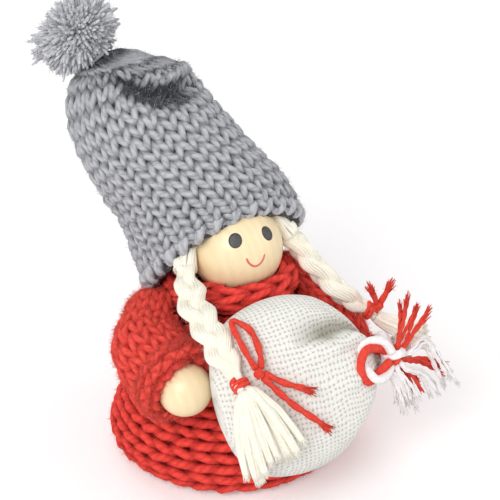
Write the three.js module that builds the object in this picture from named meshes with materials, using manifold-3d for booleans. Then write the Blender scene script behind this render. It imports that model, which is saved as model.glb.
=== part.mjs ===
// Decorative doll in winter clothes: a wooden bead head in a tall knitted hat, two braids, a knitted dress
// with stuffed sleeves and wooden bead hands, and a linen sack held in front.
// Millimetres, +Z up. The face looks towards -Y and the doll's own left is +X. The origin is the centre of
// the flat wooden base, on the surface that it stands on.

import * as THREE from 'three';
import { LoftGeometry } from 'three/addons/geometries/LoftGeometry.js';
import { mergeVertices } from 'three/addons/utils/BufferGeometryUtils.js';
import Module from 'manifold-3d';

const wasm = await Module();
wasm.setup();

const vec = (x, y, z) => new THREE.Vector3(x, y, z);
const degrees = THREE.MathUtils.degToRad;

// Gap between pieces that touch, and how far a needless edge may lie off the surface that is left without it
const clearance = 0.3;
const edgeTolerance = 0.09;

// Wooden base disc
const base = { radius: 34.5, thickness: 4, edgeRadius: 1.2 };

// Knitted dress: its wall hangs round the base disc, bulges above the hem and narrows to the neck
const dress = {
  wall: 4.2,
  hemIn: 1.4,
  hemBulge: 1,
  bulgeHeight: 7,
  waistRadius: 31,
  waistHeight: 27,
  neckRadius: 19.5,
  height: 56,
};

// Rolled neck edge of the dress, tipped down behind
const collar = { ringRadius: 17.5, halfWidth: 5, halfHeight: 5.2, rise: 2.6, tip: degrees(9) };

// Wooden bead head, a little forward of the middle, on a dowel
const head = { radius: 15, sideways: 1.5, forward: 2.5 };
const neckPeg = { radius: 2.2, depthInBody: 26, depthInHead: 24, boreGap: 0.3 };

// Band of hair over the head, from one braid's root to the other's
const hair = { thickness: 3.4, width: 12, lean: degrees(28) };

// Knitted hat: stations from the brim to the gathered tip. Each has its centre from the head's centre, its
// lean backwards and to the doll's right, and its half-width and half-depth
const hat = {
  wall: 4.4,
  brimRise: 4.6,
  napeRise: 3.5,
  brimFade: 0.22,
  foldDepth: 6,
  foldLip: 1.8,
  foldWidth: 0.04,
  foldStart: 0.88,
  foldEnd: 0.44,
  foldSag: 3.3,
  foldFrom: degrees(-135),
  foldTo: degrees(-25),
  stuffingFrom: 0.1,
  insideTop: 0.73,
  stations: [
    { at: vec(0.3, 8.5, -6.7), back: 45, side: 9, width: 28.8, depth: 26.5 },
    { at: vec(-2.2, 14.6, 4.1), back: 40, side: 15, width: 28.1, depth: 26.8 },
    { at: vec(-7.3, 22, 15.1), back: 37, side: 22, width: 24.8, depth: 25.4 },
    { at: vec(-14.8, 30.2, 28.2), back: 34, side: 28, width: 23.6, depth: 24 },
    { at: vec(-18.9, 38, 39.6), back: 31, side: 20, width: 22, depth: 21.5 },
    { at: vec(-18.8, 42.5, 45.8), back: 25, side: 4, width: 19.4, depth: 17.5 },
    { at: vec(-21.4, 45, 49.9), back: 20, side: 4, width: 12, depth: 11 },
    { at: vec(-25.4, 46.6, 52), back: 20, side: 26, width: 4.6, depth: 4.6 },
    { at: vec(-27.9, 48.3, 56.7), back: 20, side: 26, width: 4.6, depth: 4.6 },
  ],
};
const gather = { cordRadius: 0.7, turns: 2, pitch: 1.9, fromTip: 2.9 };
const pompom = { radius: 12, squash: 0.8, tufts: 7, tuftHeight: 0.07, seat: 3.8 };

// Arms: stuffed sleeve round a bent wire, rolled cuff and wooden bead hand. Points are from the origin; the
// shoulder point is also the arm's pivot
const arm = {
  shoulderRadius: 10.5,
  elbowRadius: 12.6,
  wristRadius: 12,
  wireRadius: 0.8,
  wireInHand: 2,
  room: 1.7,
};
const cuff = { ringRadius: 9.6, roll: 4.2 };
const hand = { radius: 8.6, proud: 4.4 };
const arms = {
  right: { shoulder: vec(-25, 3, 48), elbow: vec(-32, -7.5, 45), wrist: vec(-30, -24.5, 42.6), opens: -1 },
  left: { shoulder: vec(25, 3, 48), elbow: vec(30.5, -7.5, 40), wrist: vec(29, -24, 31), opens: 1 },
};
const armSwing = 20;

// Sack of gathered linen on its stuffing, leaning on the dress. Its stations run from the closed end to the
// neck: distance along the sack, half-height and half-thickness. The mouth flares past the neck
const sack = {
  centre: vec(3.4, -40.8, 41.6),
  lean: degrees(27),
  tilt: degrees(2.5),
  cloth: 1,
  pleats: 8,
  pleatDepth: 0.09,
  pleatFrom: 4,
  neckAt: 30.9,
  neckLength: 7.8,
  neckRadius: 3,
  mouthBore: 1.2,
  mouthRadius: 5,
  mouthLength: 4.5,
  stations: [
    { at: -27.5, height: 8.5, thick: 3.2 },
    { at: -25.2, height: 16.5, thick: 6.4 },
    { at: -18, height: 24.6, thick: 11 },
    { at: -8, height: 27.6, thick: 13.6 },
    { at: 2, height: 27.6, thick: 14 },
    { at: 10.4, height: 24.8, thick: 13.2 },
    { at: 16.2, height: 20.2, thick: 12 },
    { at: 21.8, height: 13.8, thick: 9.4 },
    { at: 25.2, height: 8, thick: 6 },
  ],
};

// Twisted red and white cord: one and a half turns round the neck of the sack, a knot in front and a loop of
// it. Its ends are frayed into red and white strands; each leaves the knot along a heading of its own
const cord = {
  radius: 1.35,
  turns: 1.5,
  pitch: 3.2,
  knotRadius: 2.6,
  knotAround: degrees(94),
  loop: [
    vec(-6.2, 1.4, 6.4),
    vec(-13.4, 0.8, 7),
    vec(-16, -3.2, 1.4),
    vec(-12.6, -5.2, -3.6),
    vec(-6.4, -3, -3.4),
  ],
};
const strandRadius = 0.9;
const strands = {
  red: [
    { heading: vec(0.4, 0.3, 0.85), via: vec(5.2, 4.4, 7.4), end: vec(8, 7, 12) },
    { heading: vec(0.85, 0.25, 0.45), via: vec(8, 2.8, 5.8), end: vec(12.4, 5.2, 8) },
    { heading: vec(0.85, -0.1, -0.5), via: vec(10.2, 1, -5.6), end: vec(16.8, -0.2, -10) },
    { heading: vec(0.5, 0.3, -0.8), via: vec(5.2, -0.8, -7), end: vec(8.2, -1.4, -12) },
  ],
  white: [
    { heading: vec(0.97, -0.15, 0.1), via: vec(11.4, 1.6, 1.6), end: vec(18.6, -3, -12) },
    { heading: vec(-0.5, -0.2, -0.85), via: vec(-1.6, -3.6, -8.6), end: vec(-0.2, -4.8, -15) },
    { heading: vec(0, -0.45, -0.9), via: vec(2.2, -4.6, -9), end: vec(4.6, -6, -16) },
    { heading: vec(0.5, -0.5, -0.7), via: vec(8.4, -3, -6.8), end: vec(12.8, -4, -13.2) },
  ],
};

// Yarn that ties the braids: two turns, a knot in front and its loop and ends
const yarn = { radius: 0.8, turns: 2, pitch: 2.2, knotRadius: 1.7 };

// Braids from the root under the brim to the tie, flat and three strands wide, and the tassels below the ties
const braidSection = { width: 4.9, thick: 3.4, rootRadius: 3.8, tieRadius: 2.6, tieLength: 5, room: 0.5 };
const tassel = { thick: 3.2, spread: [0, 0.5, 0.8, 1] };
const braids = {
  right: {
    facing: vec(-0.45, -0.8, 0.4),
    knotSide: vec(0.8, -0.6, 0.2),
    route: [vec(-18.6, -7, 70), vec(-21.5, -19, 65.2), vec(-21.5, -32.4, 61.2), vec(-20.5, -51.7, 52.3)],
    tasselEnd: vec(-13.5, -60.5, 27.8),
    tasselAcross: vec(0.84, -0.15, 0.5),
    tasselWidth: 11,
    loop: [
      vec(-0.6, 1, 1.4),
      vec(-1, 8, 4.4),
      vec(-1.6, 15, 10.5),
      vec(2.6, 11.5, 8.3),
      vec(3, 5.5, 3.9),
      vec(1.2, 1, 1),
    ],
    ends: [
      [vec(1.7, -0.3, -0.2), vec(7.6, -2.7, -4.2), vec(12.9, -4.8, -6.4)],
      [vec(1, -0.8, -1.2), vec(7.9, -5.7, -9.5), vec(17.1, -9.3, -18.2)],
    ],
  },
  left: {
    facing: vec(0.66, 0.11, 0.7),
    knotSide: vec(-0.2, -0.5, 0.84),
    route: [vec(20.8, -4, 70.5), vec(25.5, -12, 62.5), vec(29.9, -19.7, 56.3), vec(39.8, -26.9, 48)],
    tasselEnd: vec(56, -34, 38.5),
    tasselAcross: vec(0.4, -0.1, 0.9),
    tasselWidth: 7,
    ends: [
      [vec(-0.9, 0, 1.2), vec(-1.4, 0, 3.4), vec(-2.6, 0, 6)],
      [vec(0.9, 0, 1.2), vec(2.2, 0, 3), vec(3.4, 0, 5.2)],
    ],
  },
};

// Facets round the body
const bodySides = 28;

const headCentre = vec(head.sideways, -head.forward, dress.height + head.radius);
const neckTop = dress.height;

// Materials
function finish(color, roughness, metalness = 0) {
  return new THREE.MeshStandardMaterial({ color, roughness, metalness });
}

const materials = {
  wood: finish(0xecd2a0, 0.45),
  greyWool: finish(0x9a9da3, 0.95),
  redWool: finish(0xd8332c, 0.95),
  redYarn: finish(0xe8503f, 0.9),
  creamYarn: finish(0xf6eedd, 0.9),
  linen: finish(0xe9e5da, 0.95),
  cord: finish(0xe25a62, 0.85),
  whiteYarn: finish(0xf7f2ef, 0.9),
  stuffing: finish(0xf4f2ee, 1),
  steel: finish(0xb9bcc0, 0.35, 0.9),
};

// Solids

// Closed solid of a geometry, for joining and cutting
function solid(geometry) {
  const bare = new THREE.BufferGeometry();
  bare.setAttribute('position', geometry.getAttribute('position'));
  bare.setIndex(geometry.index);
  const merged = mergeVertices(bare, 1e-4);
  return new wasm.Manifold(new wasm.Mesh({
    numProp: 3,
    vertProperties: merged.attributes.position.array,
    triVerts: new Uint32Array(merged.index.array),
  }));
}

// Largest body of a solid, as a geometry without its needless edges
function geometryOf(shape) {
  const [largest] = shape.decompose().sort((a, b) => b.volume() - a.volume());
  const body = largest.simplify(edgeTolerance);
  const mesh = body.getMesh();
  const geometry = new THREE.BufferGeometry();
  geometry.setAttribute('position', new THREE.BufferAttribute(Float32Array.from(mesh.vertProperties), 3));
  geometry.setIndex(new THREE.BufferAttribute(Uint32Array.from(mesh.triVerts), 1));
  geometry.computeVertexNormals();
  return geometry;
}

// What is left of a solid once each tool is cut away
function cut(shape, ...tools) {
  return tools.reduce((rest, tool) => rest.subtract(tool), shape);
}

// Shapes

// Profile of [radius, height] points turned round the Z axis; it runs upwards on the outside
function revolve(profile, sides) {
  const points = profile.map(([radius, height]) => new THREE.Vector2(radius, height));
  return solid(new THREE.LatheGeometry(points, sides).rotateX(Math.PI / 2));
}

function ball(radius, centre, around = 32, down = 20) {
  const geometry = new THREE.SphereGeometry(radius, around, down).rotateX(Math.PI / 2);
  return solid(geometry.translate(centre.x, centre.y, centre.z));
}

// Round bar between two points
function bar(radius, from, to, sides = 16) {
  const axis = to.clone().sub(from);
  const geometry = new THREE.CylinderGeometry(radius, radius, axis.length(), sides);
  const turn = new THREE.Quaternion().setFromUnitVectors(vec(0, 1, 0), axis.clone().normalize());
  const middle = from.clone().add(to).multiplyScalar(0.5);
  return solid(geometry.applyQuaternion(turn).translate(middle.x, middle.y, middle.z));
}

// Ring of round section about a point, facing along a direction
function ring(ringRadius, roll, centre, facing, around = 32, sides = 12) {
  const geometry = new THREE.TorusGeometry(ringRadius, roll, sides, around);
  const turn = new THREE.Quaternion().setFromUnitVectors(vec(0, 0, 1), facing.clone().normalize());
  return solid(geometry.applyQuaternion(turn).translate(centre.x, centre.y, centre.z));
}

// Frames along a curve that carry a chosen side direction without twist: side x rise = direction of travel
function framesAlong(curve, places, firstSide) {
  const side = firstSide.clone();
  return places.map((place) => {
    const point = curve.getPointAt(place);
    const travel = curve.getTangentAt(place);
    side.addScaledVector(travel, -side.dot(travel)).normalize();
    return { point, travel, side: side.clone(), rise: travel.clone().cross(side).normalize() };
  });
}

// Closed skin through a row of elliptical sections along a curve. halfSizes(place) gives [across, deep];
// each end is drawn in over its dome's depth, or left flat when that is 0
function loftAlong(curve, halfSizes, { sides = 16, steps = 10, across = vec(1, 0, 0), domes = [0, 0] } = {}) {
  const length = curve.getLength();
  const domeSteps = 4;
  const places = [];
  const factors = [];
  const addPlace = (distance, factor) => {
    places.push(THREE.MathUtils.clamp(distance / length, 0, 1));
    factors.push(factor);
  };
  for (let i = 0; i < domeSteps && domes[0] > 0; i++) {
    const turn = (Math.PI / 2) * (i + 0.35) / domeSteps;
    addPlace(domes[0] * (1 - Math.cos(turn)), Math.sin(turn));
  }
  for (let i = 0; i <= steps; i++) addPlace(domes[0] + (length - domes[0] - domes[1]) * i / steps, 1);
  for (let i = domeSteps - 1; i >= 0 && domes[1] > 0; i--) {
    const turn = (Math.PI / 2) * (i + 0.35) / domeSteps;
    addPlace(length - domes[1] * (1 - Math.cos(turn)), Math.sin(turn));
  }
  const sections = framesAlong(curve, places, across).map(({ point, side, rise }, i) => {
    const [wide, deep] = halfSizes(places[i]);
    return Array.from({ length: sides }, (_, k) => {
      const angle = 2 * Math.PI * k / sides;
      return point.clone()
        .addScaledVector(side, factors[i] * wide * Math.cos(angle))
        .addScaledVector(rise, factors[i] * deep * Math.sin(angle));
    });
  });
  return solid(new LoftGeometry(sections, { capStart: true, capEnd: true }));
}

// Straight blend through equally spaced values
function blend(values, place) {
  const spot = THREE.MathUtils.clamp(place, 0, 1) * (values.length - 1);
  const low = Math.min(Math.floor(spot), values.length - 2);
  return THREE.MathUtils.lerp(values[low], values[low + 1], spot - low);
}

// Cord of round section through chosen points, in steps of a length
function strand(points, radius, stepLength) {
  const curve = new THREE.CatmullRomCurve3(points);
  const steps = Math.max(2, Math.round(curve.getLength() / stepLength));
  const halfSizes = () => [radius, radius];
  const across = points[1].clone().sub(points[0]).cross(vec(0.3, 0.5, 0.8));
  return loftAlong(curve, halfSizes, { sides: 6, steps, across });
}

// Winding of one unbroken cord: its centre line climbs steadily round an axis
class Winding extends THREE.Curve {
  constructor({ centre, axis, across, radius, turns, pitch }) {
    super();
    this.centre = centre;
    this.axis = axis.clone().normalize();
    this.across = across.clone().addScaledVector(this.axis, -across.dot(this.axis)).normalize();
    this.over = this.axis.clone().cross(this.across);
    Object.assign(this, { radius, turns, pitch });
  }

  getPoint(place, target = vec(0, 0, 0)) {
    const angle = 2 * Math.PI * this.turns * place;
    return target.copy(this.centre)
      .addScaledVector(this.across, this.radius * Math.cos(angle))
      .addScaledVector(this.over, this.radius * Math.sin(angle))
      .addScaledVector(this.axis, this.pitch * this.turns * (place - 0.5));
  }
}

// Least gap between the surfaces of a winding's neighbouring turns, measured on points of its centre line
function leastGap(winding, cordRadius) {
  const perTurn = 24;
  const points = winding.getPoints(Math.round(perTurn * winding.turns));
  let least = Infinity;
  points.forEach((point, i) => {
    for (let j = i + perTurn / 2; j < points.length; j++) {
      least = Math.min(least, point.distanceTo(points[j]));
    }
  });
  return least - 2 * cordRadius;
}

function windingSolid(name, winding, cordRadius) {
  console.log(`${name}: least gap between turns ${leastGap(winding, cordRadius).toFixed(2)} mm`);
  const steps = Math.round(22 * winding.turns);
  const halfSizes = () => [cordRadius, cordRadius];
  return loftAlong(winding, halfSizes, { sides: 6, steps, across: winding.axis });
}

// Scene graph

const doll = new THREE.Group();
doll.name = 'decorative_doll';

function add(name, shape, material) {
  const mesh = new THREE.Mesh(geometryOf(shape), material);
  mesh.name = name;
  doll.add(mesh);
}

// Base disc

const discProfile = [[0, 0], [base.radius - base.edgeRadius, 0]];
for (let i = 1; i < 4; i++) {
  const turn = (Math.PI / 2) * i / 4;
  discProfile.push([
    base.radius - base.edgeRadius * (1 - Math.sin(turn)),
    base.edgeRadius * (1 - Math.cos(turn)),
  ]);
}
discProfile.push([base.radius, base.edgeRadius], [base.radius, base.thickness], [0, base.thickness]);
add('base_disc', revolve(discProfile, bodySides), materials.wood);
const baseCleared = revolve([
  [0, -clearance],
  [base.radius + clearance, -clearance],
  [base.radius + clearance, base.thickness + clearance],
  [0, base.thickness + clearance],
], bodySides);

// Dress and the stuffed body inside it

// Outside of the dress from the hem to the neck, moved outwards by grow
function dressOutline(grow, steps = 9) {
  const hem = base.radius + clearance + dress.wall;
  const curve = new THREE.SplineCurve([
    new THREE.Vector2(hem - dress.hemIn, clearance),
    new THREE.Vector2(hem + dress.hemBulge, dress.bulgeHeight),
    new THREE.Vector2(dress.waistRadius, dress.waistHeight),
    new THREE.Vector2(dress.neckRadius, dress.height),
  ]);
  return curve.getPoints(steps).map((point, i, all) => {
    const before = all[Math.max(i - 1, 0)];
    const after = all[Math.min(i + 1, all.length - 1)];
    const along = after.clone().sub(before).normalize();
    return [point.x + grow * along.y, point.y - grow * along.x];
  });
}

// Everything inside the dress's outline, moved outwards by grow
function bodyShape(grow) {
  const outline = dressOutline(grow);
  const [bottom] = outline;
  const top = outline.at(-1);
  const low = Math.min(bottom[1], clearance) - Math.max(grow, 0);
  const high = Math.max(top[1], neckTop) + grow;
  return revolve([[0, low], [bottom[0], low], ...outline, [top[0], high + 0.01], [0, high + 0.01]], bodySides);
}

// Cut by the rounded shoulders: each turns with its arm inside a matching hollow
function shoulderBalls(grow) {
  return Object.values(arms).map(({ shoulder }) => ball(arm.shoulderRadius + grow, shoulder, 18, 10));
}

const insideSteps = 6;
const dressSkin = revolve([
  ...dressOutline(0),
  ...dressOutline(-dress.wall, insideSteps).reverse(),
  dressOutline(0)[0],
], bodySides);
add('dress', cut(dressSkin, baseCleared, ...shoulderBalls(clearance)), materials.redWool);

const coreFloor = base.thickness + clearance;
const coreOutline = dressOutline(-dress.wall - clearance, insideSteps)
  .filter(([, height]) => height > coreFloor && height < neckTop);
const coreFoot = Math.min(coreOutline[0][0], base.radius);
const boreRadius = neckPeg.radius + neckPeg.boreGap;
const core = revolve([
  [0, coreFloor],
  [coreFoot, coreFloor],
  ...coreOutline,
  [coreOutline.at(-1)[0], neckTop - clearance],
  [0, neckTop - clearance],
], bodySides);
const pegFoot = vec(headCentre.x, headCentre.y, neckTop - neckPeg.depthInBody);
const pegTip = vec(headCentre.x, headCentre.y, neckTop + neckPeg.depthInHead);
const bodyBore = bar(boreRadius, pegFoot.clone().setZ(pegFoot.z - clearance), pegTip);
add('body_stuffing', cut(core, bodyBore, ...shoulderBalls(clearance)), materials.stuffing);

// Head on its dowel

add('neck_peg', bar(neckPeg.radius, pegFoot, pegTip), materials.wood);

const headBore = bar(
  boreRadius,
  headCentre.clone().setZ(headCentre.z - 2 * head.radius),
  headCentre.clone().setZ(headCentre.z + 2 * head.radius),
);
const headCleared = ball(head.radius + clearance, headCentre, 20, 12);
add('head_bead', cut(ball(head.radius, headCentre, 24, 14), headBore), materials.wood);

// Collar

function collarShape(grow) {
  const halfWidth = collar.halfWidth + grow;
  const halfHeight = collar.halfHeight + grow;
  const sides = 8;
  const profile = Array.from({ length: sides + 1 }, (_, i) => {
    const angle = 2 * Math.PI * (i % sides) / sides;
    return new THREE.Vector2(collar.ringRadius + halfWidth * Math.cos(angle), halfHeight * Math.sin(angle));
  });
  const geometry = new THREE.LatheGeometry(profile, 20).rotateX(Math.PI / 2);
  geometry.rotateX(-collar.tip);
  return solid(geometry.translate(head.sideways / 2, 0, neckTop + collar.rise));
}

add('collar', cut(
  collarShape(0),
  bodyShape(clearance),
  headCleared,
  ...shoulderBalls(clearance),
), materials.redWool);

// Hat

// Depth of the fold below the tip: a groove that sags from the gathers down towards the doll's left, with a
// lip of slack knit hanging over it
function foldAt(place, angle) {
  const spread = (angle - hat.foldFrom) / (hat.foldTo - hat.foldFrom);
  if (spread < 0 || spread > 1) return 0;
  const line = hat.foldEnd + (hat.foldStart - hat.foldEnd) * (1 - spread) ** hat.foldSag;
  const groove = Math.exp(-(((place - line) / hat.foldWidth) ** 2));
  const lip = Math.exp(-(((place - line) / hat.foldWidth - 2) ** 2));
  return (hat.foldDepth * groove - hat.foldLip * lip) * Math.sin(Math.PI * spread) ** 0.5;
}

const hatCentres = new THREE.CatmullRomCurve3(hat.stations.map(({ at }) => at.clone().add(headCentre)));
const hatLeans = new THREE.CatmullRomCurve3(hat.stations
  .map(({ back, side }) => vec(degrees(back), degrees(side), 0)));
const hatLength = hatCentres.getLength();
const hatSizes = new THREE.CatmullRomCurve3(hat.stations.map(({ width, depth }) => vec(width, depth, 0)));

// Point of the hat at a place from brim 0 to tip 1 and an angle round it, moved outwards by grow. Past the
// brim the hat's opening runs straight on
function hatPoint(station, angle, grow) {
  const place = THREE.MathUtils.clamp(station, 0, 1);
  const centre = hatCentres.getPoint(place);
  const lean = hatLeans.getPoint(place);
  const size = hatSizes.getPoint(place);
  const turn = new THREE.Quaternion().setFromEuler(new THREE.Euler(-lean.x, -lean.y, 0, 'YXZ'));
  const fade = Math.max(0, 1 - place / hat.brimFade) ** 2;
  const rise = Math.sin(angle) < 0 ? hat.brimRise : hat.napeRise;
  const reach = grow - foldAt(place, angle);
  return vec(
    (size.x + reach) * Math.cos(angle),
    (size.y + reach) * Math.sin(angle),
    fade * rise * Math.sin(angle) ** 2 + (station - place) * hatLength,
  ).applyQuaternion(turn).add(centre);
}

// Closed skin of the hat between two places, moved outwards by grow
function hatShape(grow, from, to, sides, steps) {
  const sections = [];
  for (let i = 0; i <= steps; i++) {
    const place = THREE.MathUtils.lerp(from, to, i / steps);
    const angleOf = (k) => 2 * Math.PI * k / sides - Math.PI;
    sections.push(Array.from({ length: sides }, (_, k) => hatPoint(place, angleOf(k), grow)));
  }
  return solid(new LoftGeometry(sections, { capStart: true, capEnd: true }));
}

const hatMouth = -0.03;
const hatSides = 30;
const hatRows = 20;
const insideSides = 22;
const insideRows = 9;

// Room inside the hat, with its sides drawn in by shrink
function hatRoom(shrink) {
  return hatShape(-hat.wall - shrink, hatMouth, hat.insideTop, insideSides, insideRows);
}

const hatSkin = cut(hatShape(0, 0, 1, hatSides, hatRows), hatRoom(0));
const hatTools = [headCleared, collarShape(clearance), ...shoulderBalls(clearance)];
add('hat', cut(hatSkin, ...hatTools), materials.greyWool);
const hatSkinCleared = cut(hatShape(clearance, 0, 1, hatSides, hatRows), hatRoom(clearance));

// Band of hair over the head under the hat

function hairShape(grow) {
  const reach = head.radius + clearance + hair.thickness / 2;
  const crown = vec(0, Math.sin(hair.lean), Math.cos(hair.lean));
  const arc = [12, 50, 90, 130, 168].map((turn) => headCentre.clone()
    .addScaledVector(vec(-1, 0, 0), reach * Math.cos(degrees(turn)))
    .addScaledVector(crown, reach * Math.sin(degrees(turn))));
  const curve = new THREE.CatmullRomCurve3([braids.right.route[0], ...arc, braids.left.route[0]]);
  const root = braidSection.rootRadius;
  const wide = [root, hair.width / 2, hair.width / 2, hair.width / 2, hair.width / 2, root];
  const deep = [root, hair.thickness / 2, hair.thickness / 2, hair.thickness / 2, hair.thickness / 2, root];
  const halfSizes = (place) => [blend(wide, place) + grow, blend(deep, place) + grow];
  const across = vec(0, Math.cos(hair.lean), -Math.sin(hair.lean));
  return loftAlong(curve, halfSizes, { sides: 8, steps: 12, across });
}

const rootRoom = braidSection.rootRadius + clearance;
const rootBalls = Object.values(braids).map(({ route }) => ball(rootRoom, route[0], 16, 10));
add('hair_band', cut(
  hairShape(0),
  headCleared,
  ...rootBalls,
  collarShape(clearance),
  hatSkinCleared,
), materials.creamYarn);

// Wad of stuffing that keeps the hat up

const belowWad = hatShape(clearance, 2 * hatMouth, hat.stuffingFrom, insideSides, 3);
const topStep = 0.01;
const topRise = hatCentres.getPoint(hat.insideTop).distanceTo(hatCentres.getPoint(hat.insideTop - topStep));
const wadTop = hat.insideTop - topStep * 2 * clearance / topRise;
const aboveWad = hatShape(clearance, wadTop, hat.insideTop + topStep, insideSides, 1);
add('hat_stuffing', cut(
  hatRoom(2 * clearance),
  belowWad,
  aboveWad,
  headCleared,
  hairShape(clearance),
  hatSkinCleared,
), materials.stuffing);

// Gathered tip with its thread and the pom-pom

const tipCentre = hatCentres.getPoint(1);
const tipAxis = hatCentres.getTangent(1);
const tipRadius = hat.stations.at(-1).width;
const alongTip = (distance) => tipCentre.clone().addScaledVector(tipAxis, distance);
const gatherRadius = tipRadius + clearance + gather.cordRadius;
const gatherWinding = new Winding({
  centre: alongTip(-gather.fromTip),
  axis: tipAxis,
  across: vec(1, 0, 0),
  radius: gatherRadius,
  turns: gather.turns,
  pitch: gather.pitch,
});
const gatherThread = windingSolid('hat_gather_thread', gatherWinding, gather.cordRadius);
add('hat_gather_thread', gatherThread, materials.greyWool);

// Ball of cut yarn ends, a little flattened along the hat, with a lumpy surface
function pompomShape() {
  const geometry = new THREE.SphereGeometry(pompom.radius, 18, 10);
  const places = geometry.getAttribute('position');
  for (let i = 0; i < places.count; i++) {
    const point = vec(0, 0, 0).fromBufferAttribute(places, i);
    const around = Math.atan2(point.z, point.x);
    const height = Math.acos(THREE.MathUtils.clamp(point.y / pompom.radius, -1, 1));
    const lumps = Math.sin(pompom.tufts * around) * Math.sin(height) ** 2 + Math.cos(pompom.tufts * height);
    point.multiplyScalar(1 + pompom.tuftHeight * lumps / 2);
    places.setXYZ(i, point.x, point.y * pompom.squash, point.z);
  }
  const turn = new THREE.Quaternion().setFromUnitVectors(vec(0, 1, 0), tipAxis);
  const centre = alongTip(pompom.radius * pompom.squash - pompom.seat);
  return solid(geometry.applyQuaternion(turn).translate(centre.x, centre.y, centre.z));
}

const threadEnd = gather.turns * gather.pitch / 2 + gather.cordRadius + clearance - gather.fromTip;
add('pompom', cut(
  pompomShape(),
  bar(tipRadius + clearance, alongTip(-2 * pompom.radius), alongTip(clearance), 20),
  bar(gatherRadius + gather.cordRadius + clearance, alongTip(-2 * pompom.radius), alongTip(threadEnd), 20),
), materials.greyWool);

// Arms

function sleeveShape({ shoulder, elbow, wrist }, grow) {
  const first = elbow.clone().sub(shoulder).normalize();
  const start = shoulder.clone().addScaledVector(first, -arm.shoulderRadius - grow);
  const curve = new THREE.CatmullRomCurve3([start, shoulder, elbow, wrist]);
  const radii = [arm.shoulderRadius, arm.shoulderRadius, arm.elbowRadius, arm.wristRadius];
  const halfSizes = (place) => [blend(radii, place) + grow, blend(radii, place) + grow];
  return loftAlong(curve, halfSizes, { sides: 12, steps: 5, domes: [arm.shoulderRadius + grow, 0] });
}

// Direction of the hand from the wrist, and the centre of its bead
function handOf({ shoulder, elbow, wrist }) {
  const reach = new THREE.CatmullRomCurve3([shoulder, elbow, wrist]).getTangent(1);
  return { reach, centre: wrist.clone().addScaledVector(reach, hand.proud) };
}

function cuffShape(limb, grow) {
  return ring(cuff.ringRadius, cuff.roll + grow, limb.wrist, handOf(limb).reach, 16, 8);
}

function handShape(limb, grow) {
  return ball(hand.radius + grow, handOf(limb).centre, 16, 10);
}

// A whole arm moved outwards by grow, in some places of its swing about the shoulder
function sweptArm(limb, grow) {
  const whole = sleeveShape(limb, grow).add(cuffShape(limb, grow)).add(handShape(limb, grow));
  return [0, 0.33, 0.67, 1].map((part) => swung(whole, limb, part));
}

// Solid turned about an arm's shoulder by part of its swing
function swung(shape, { shoulder, opens }, part) {
  return shape
    .translate([-shoulder.x, -shoulder.y, 0])
    .rotate([0, 0, opens * part * armSwing])
    .translate([shoulder.x, shoulder.y, 0]);
}

const bodyCleared = cut(bodyShape(arm.room), ...shoulderBalls(0));
for (const [side, limb] of Object.entries(arms)) {
  const { reach, centre } = handOf(limb);
  const boreEnd = centre.clone().addScaledVector(reach, arm.wireInHand);
  const path = [limb.shoulder, limb.elbow, limb.wrist, boreEnd];
  const wire = strand(path, arm.wireRadius, 4);
  const wireBore = strand(path, arm.wireRadius + clearance, 4);
  const boreFloor = bar(
    3 * arm.wireRadius,
    boreEnd.clone().addScaledVector(reach, -clearance),
    boreEnd.clone().addScaledVector(reach, arm.wireRadius),
    8,
  );
  add(`${side}_arm_wire`, cut(wire, boreFloor), materials.steel);
  add(`${side}_sleeve`, cut(
    sleeveShape(limb, 0),
    bodyCleared,
    handShape(limb, clearance),
    cuffShape(limb, clearance),
    collarShape(clearance),
    wireBore,
  ), materials.redWool);
  add(`${side}_cuff`, cut(cuffShape(limb, 0), handShape(limb, clearance), bodyCleared), materials.redWool);
  add(`${side}_hand_bead`, cut(handShape(limb, 0), wireBore), materials.wood);
}

// Sack

const sackNormal = vec(0, -Math.cos(sack.lean), Math.sin(sack.lean));
const sackSlope = vec(0, Math.sin(sack.lean), Math.cos(sack.lean));
const sackAlong = vec(Math.cos(sack.tilt), 0, 0).addScaledVector(sackSlope, Math.sin(sack.tilt));
const sackUp = vec(-Math.sin(sack.tilt), 0, 0).addScaledVector(sackSlope, Math.cos(sack.tilt));

// Closed skin through elliptical sections of the sack, each [distance along, half-height, half-thickness],
// with pleats that deepen towards the neck
function sackShape(rows, sides) {
  return solid(new LoftGeometry(rows.map(([at, height, thick]) => Array.from({ length: sides }, (_, k) => {
    const angle = 2 * Math.PI * k / sides;
    const pleat = sack.pleatDepth * THREE.MathUtils.smoothstep(at, sack.pleatFrom, sack.neckAt);
    const swell = 1 + pleat * Math.cos(sack.pleats * angle);
    return sack.centre.clone()
      .addScaledVector(sackAlong, at)
      .addScaledVector(sackUp, height * swell * Math.sin(angle))
      .addScaledVector(sackNormal, -thick * swell * Math.cos(angle));
  })), { capStart: true, capEnd: true }));
}

// Stations of the belly of the sack, drawn in by a thickness
function bellyRows(inset) {
  return sack.stations
    .map(({ at, height, thick }) => [at, height - inset, thick - inset])
    .filter(([, height, thick]) => height > 1 && thick > 1)
    .map(([at, height, thick], i) => [i === 0 ? at + inset : at, height, thick]);
}

const neckEnds = [sack.neckAt - sack.neckLength / 2, sack.neckAt + sack.neckLength / 2];
const mouthEnd = neckEnds[1] + sack.mouthLength;
const outerRows = [
  ...bellyRows(0),
  [neckEnds[0], sack.neckRadius, sack.neckRadius],
  [neckEnds[1], sack.neckRadius, sack.neckRadius],
  [mouthEnd, sack.mouthRadius, sack.mouthRadius],
];
const innerRows = [
  ...bellyRows(sack.cloth),
  [neckEnds[0], sack.mouthBore, sack.mouthBore],
  [neckEnds[1], sack.mouthBore, sack.mouthBore],
  [mouthEnd + sack.cloth, sack.mouthRadius, sack.mouthRadius],
];

// What the sack leans on and what moves beside it, moved outwards by grow
function besideSack(grow) {
  return [bodyShape(grow), collarShape(grow), ...Object.values(arms).flatMap((limb) => sweptArm(limb, grow))];
}

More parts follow.
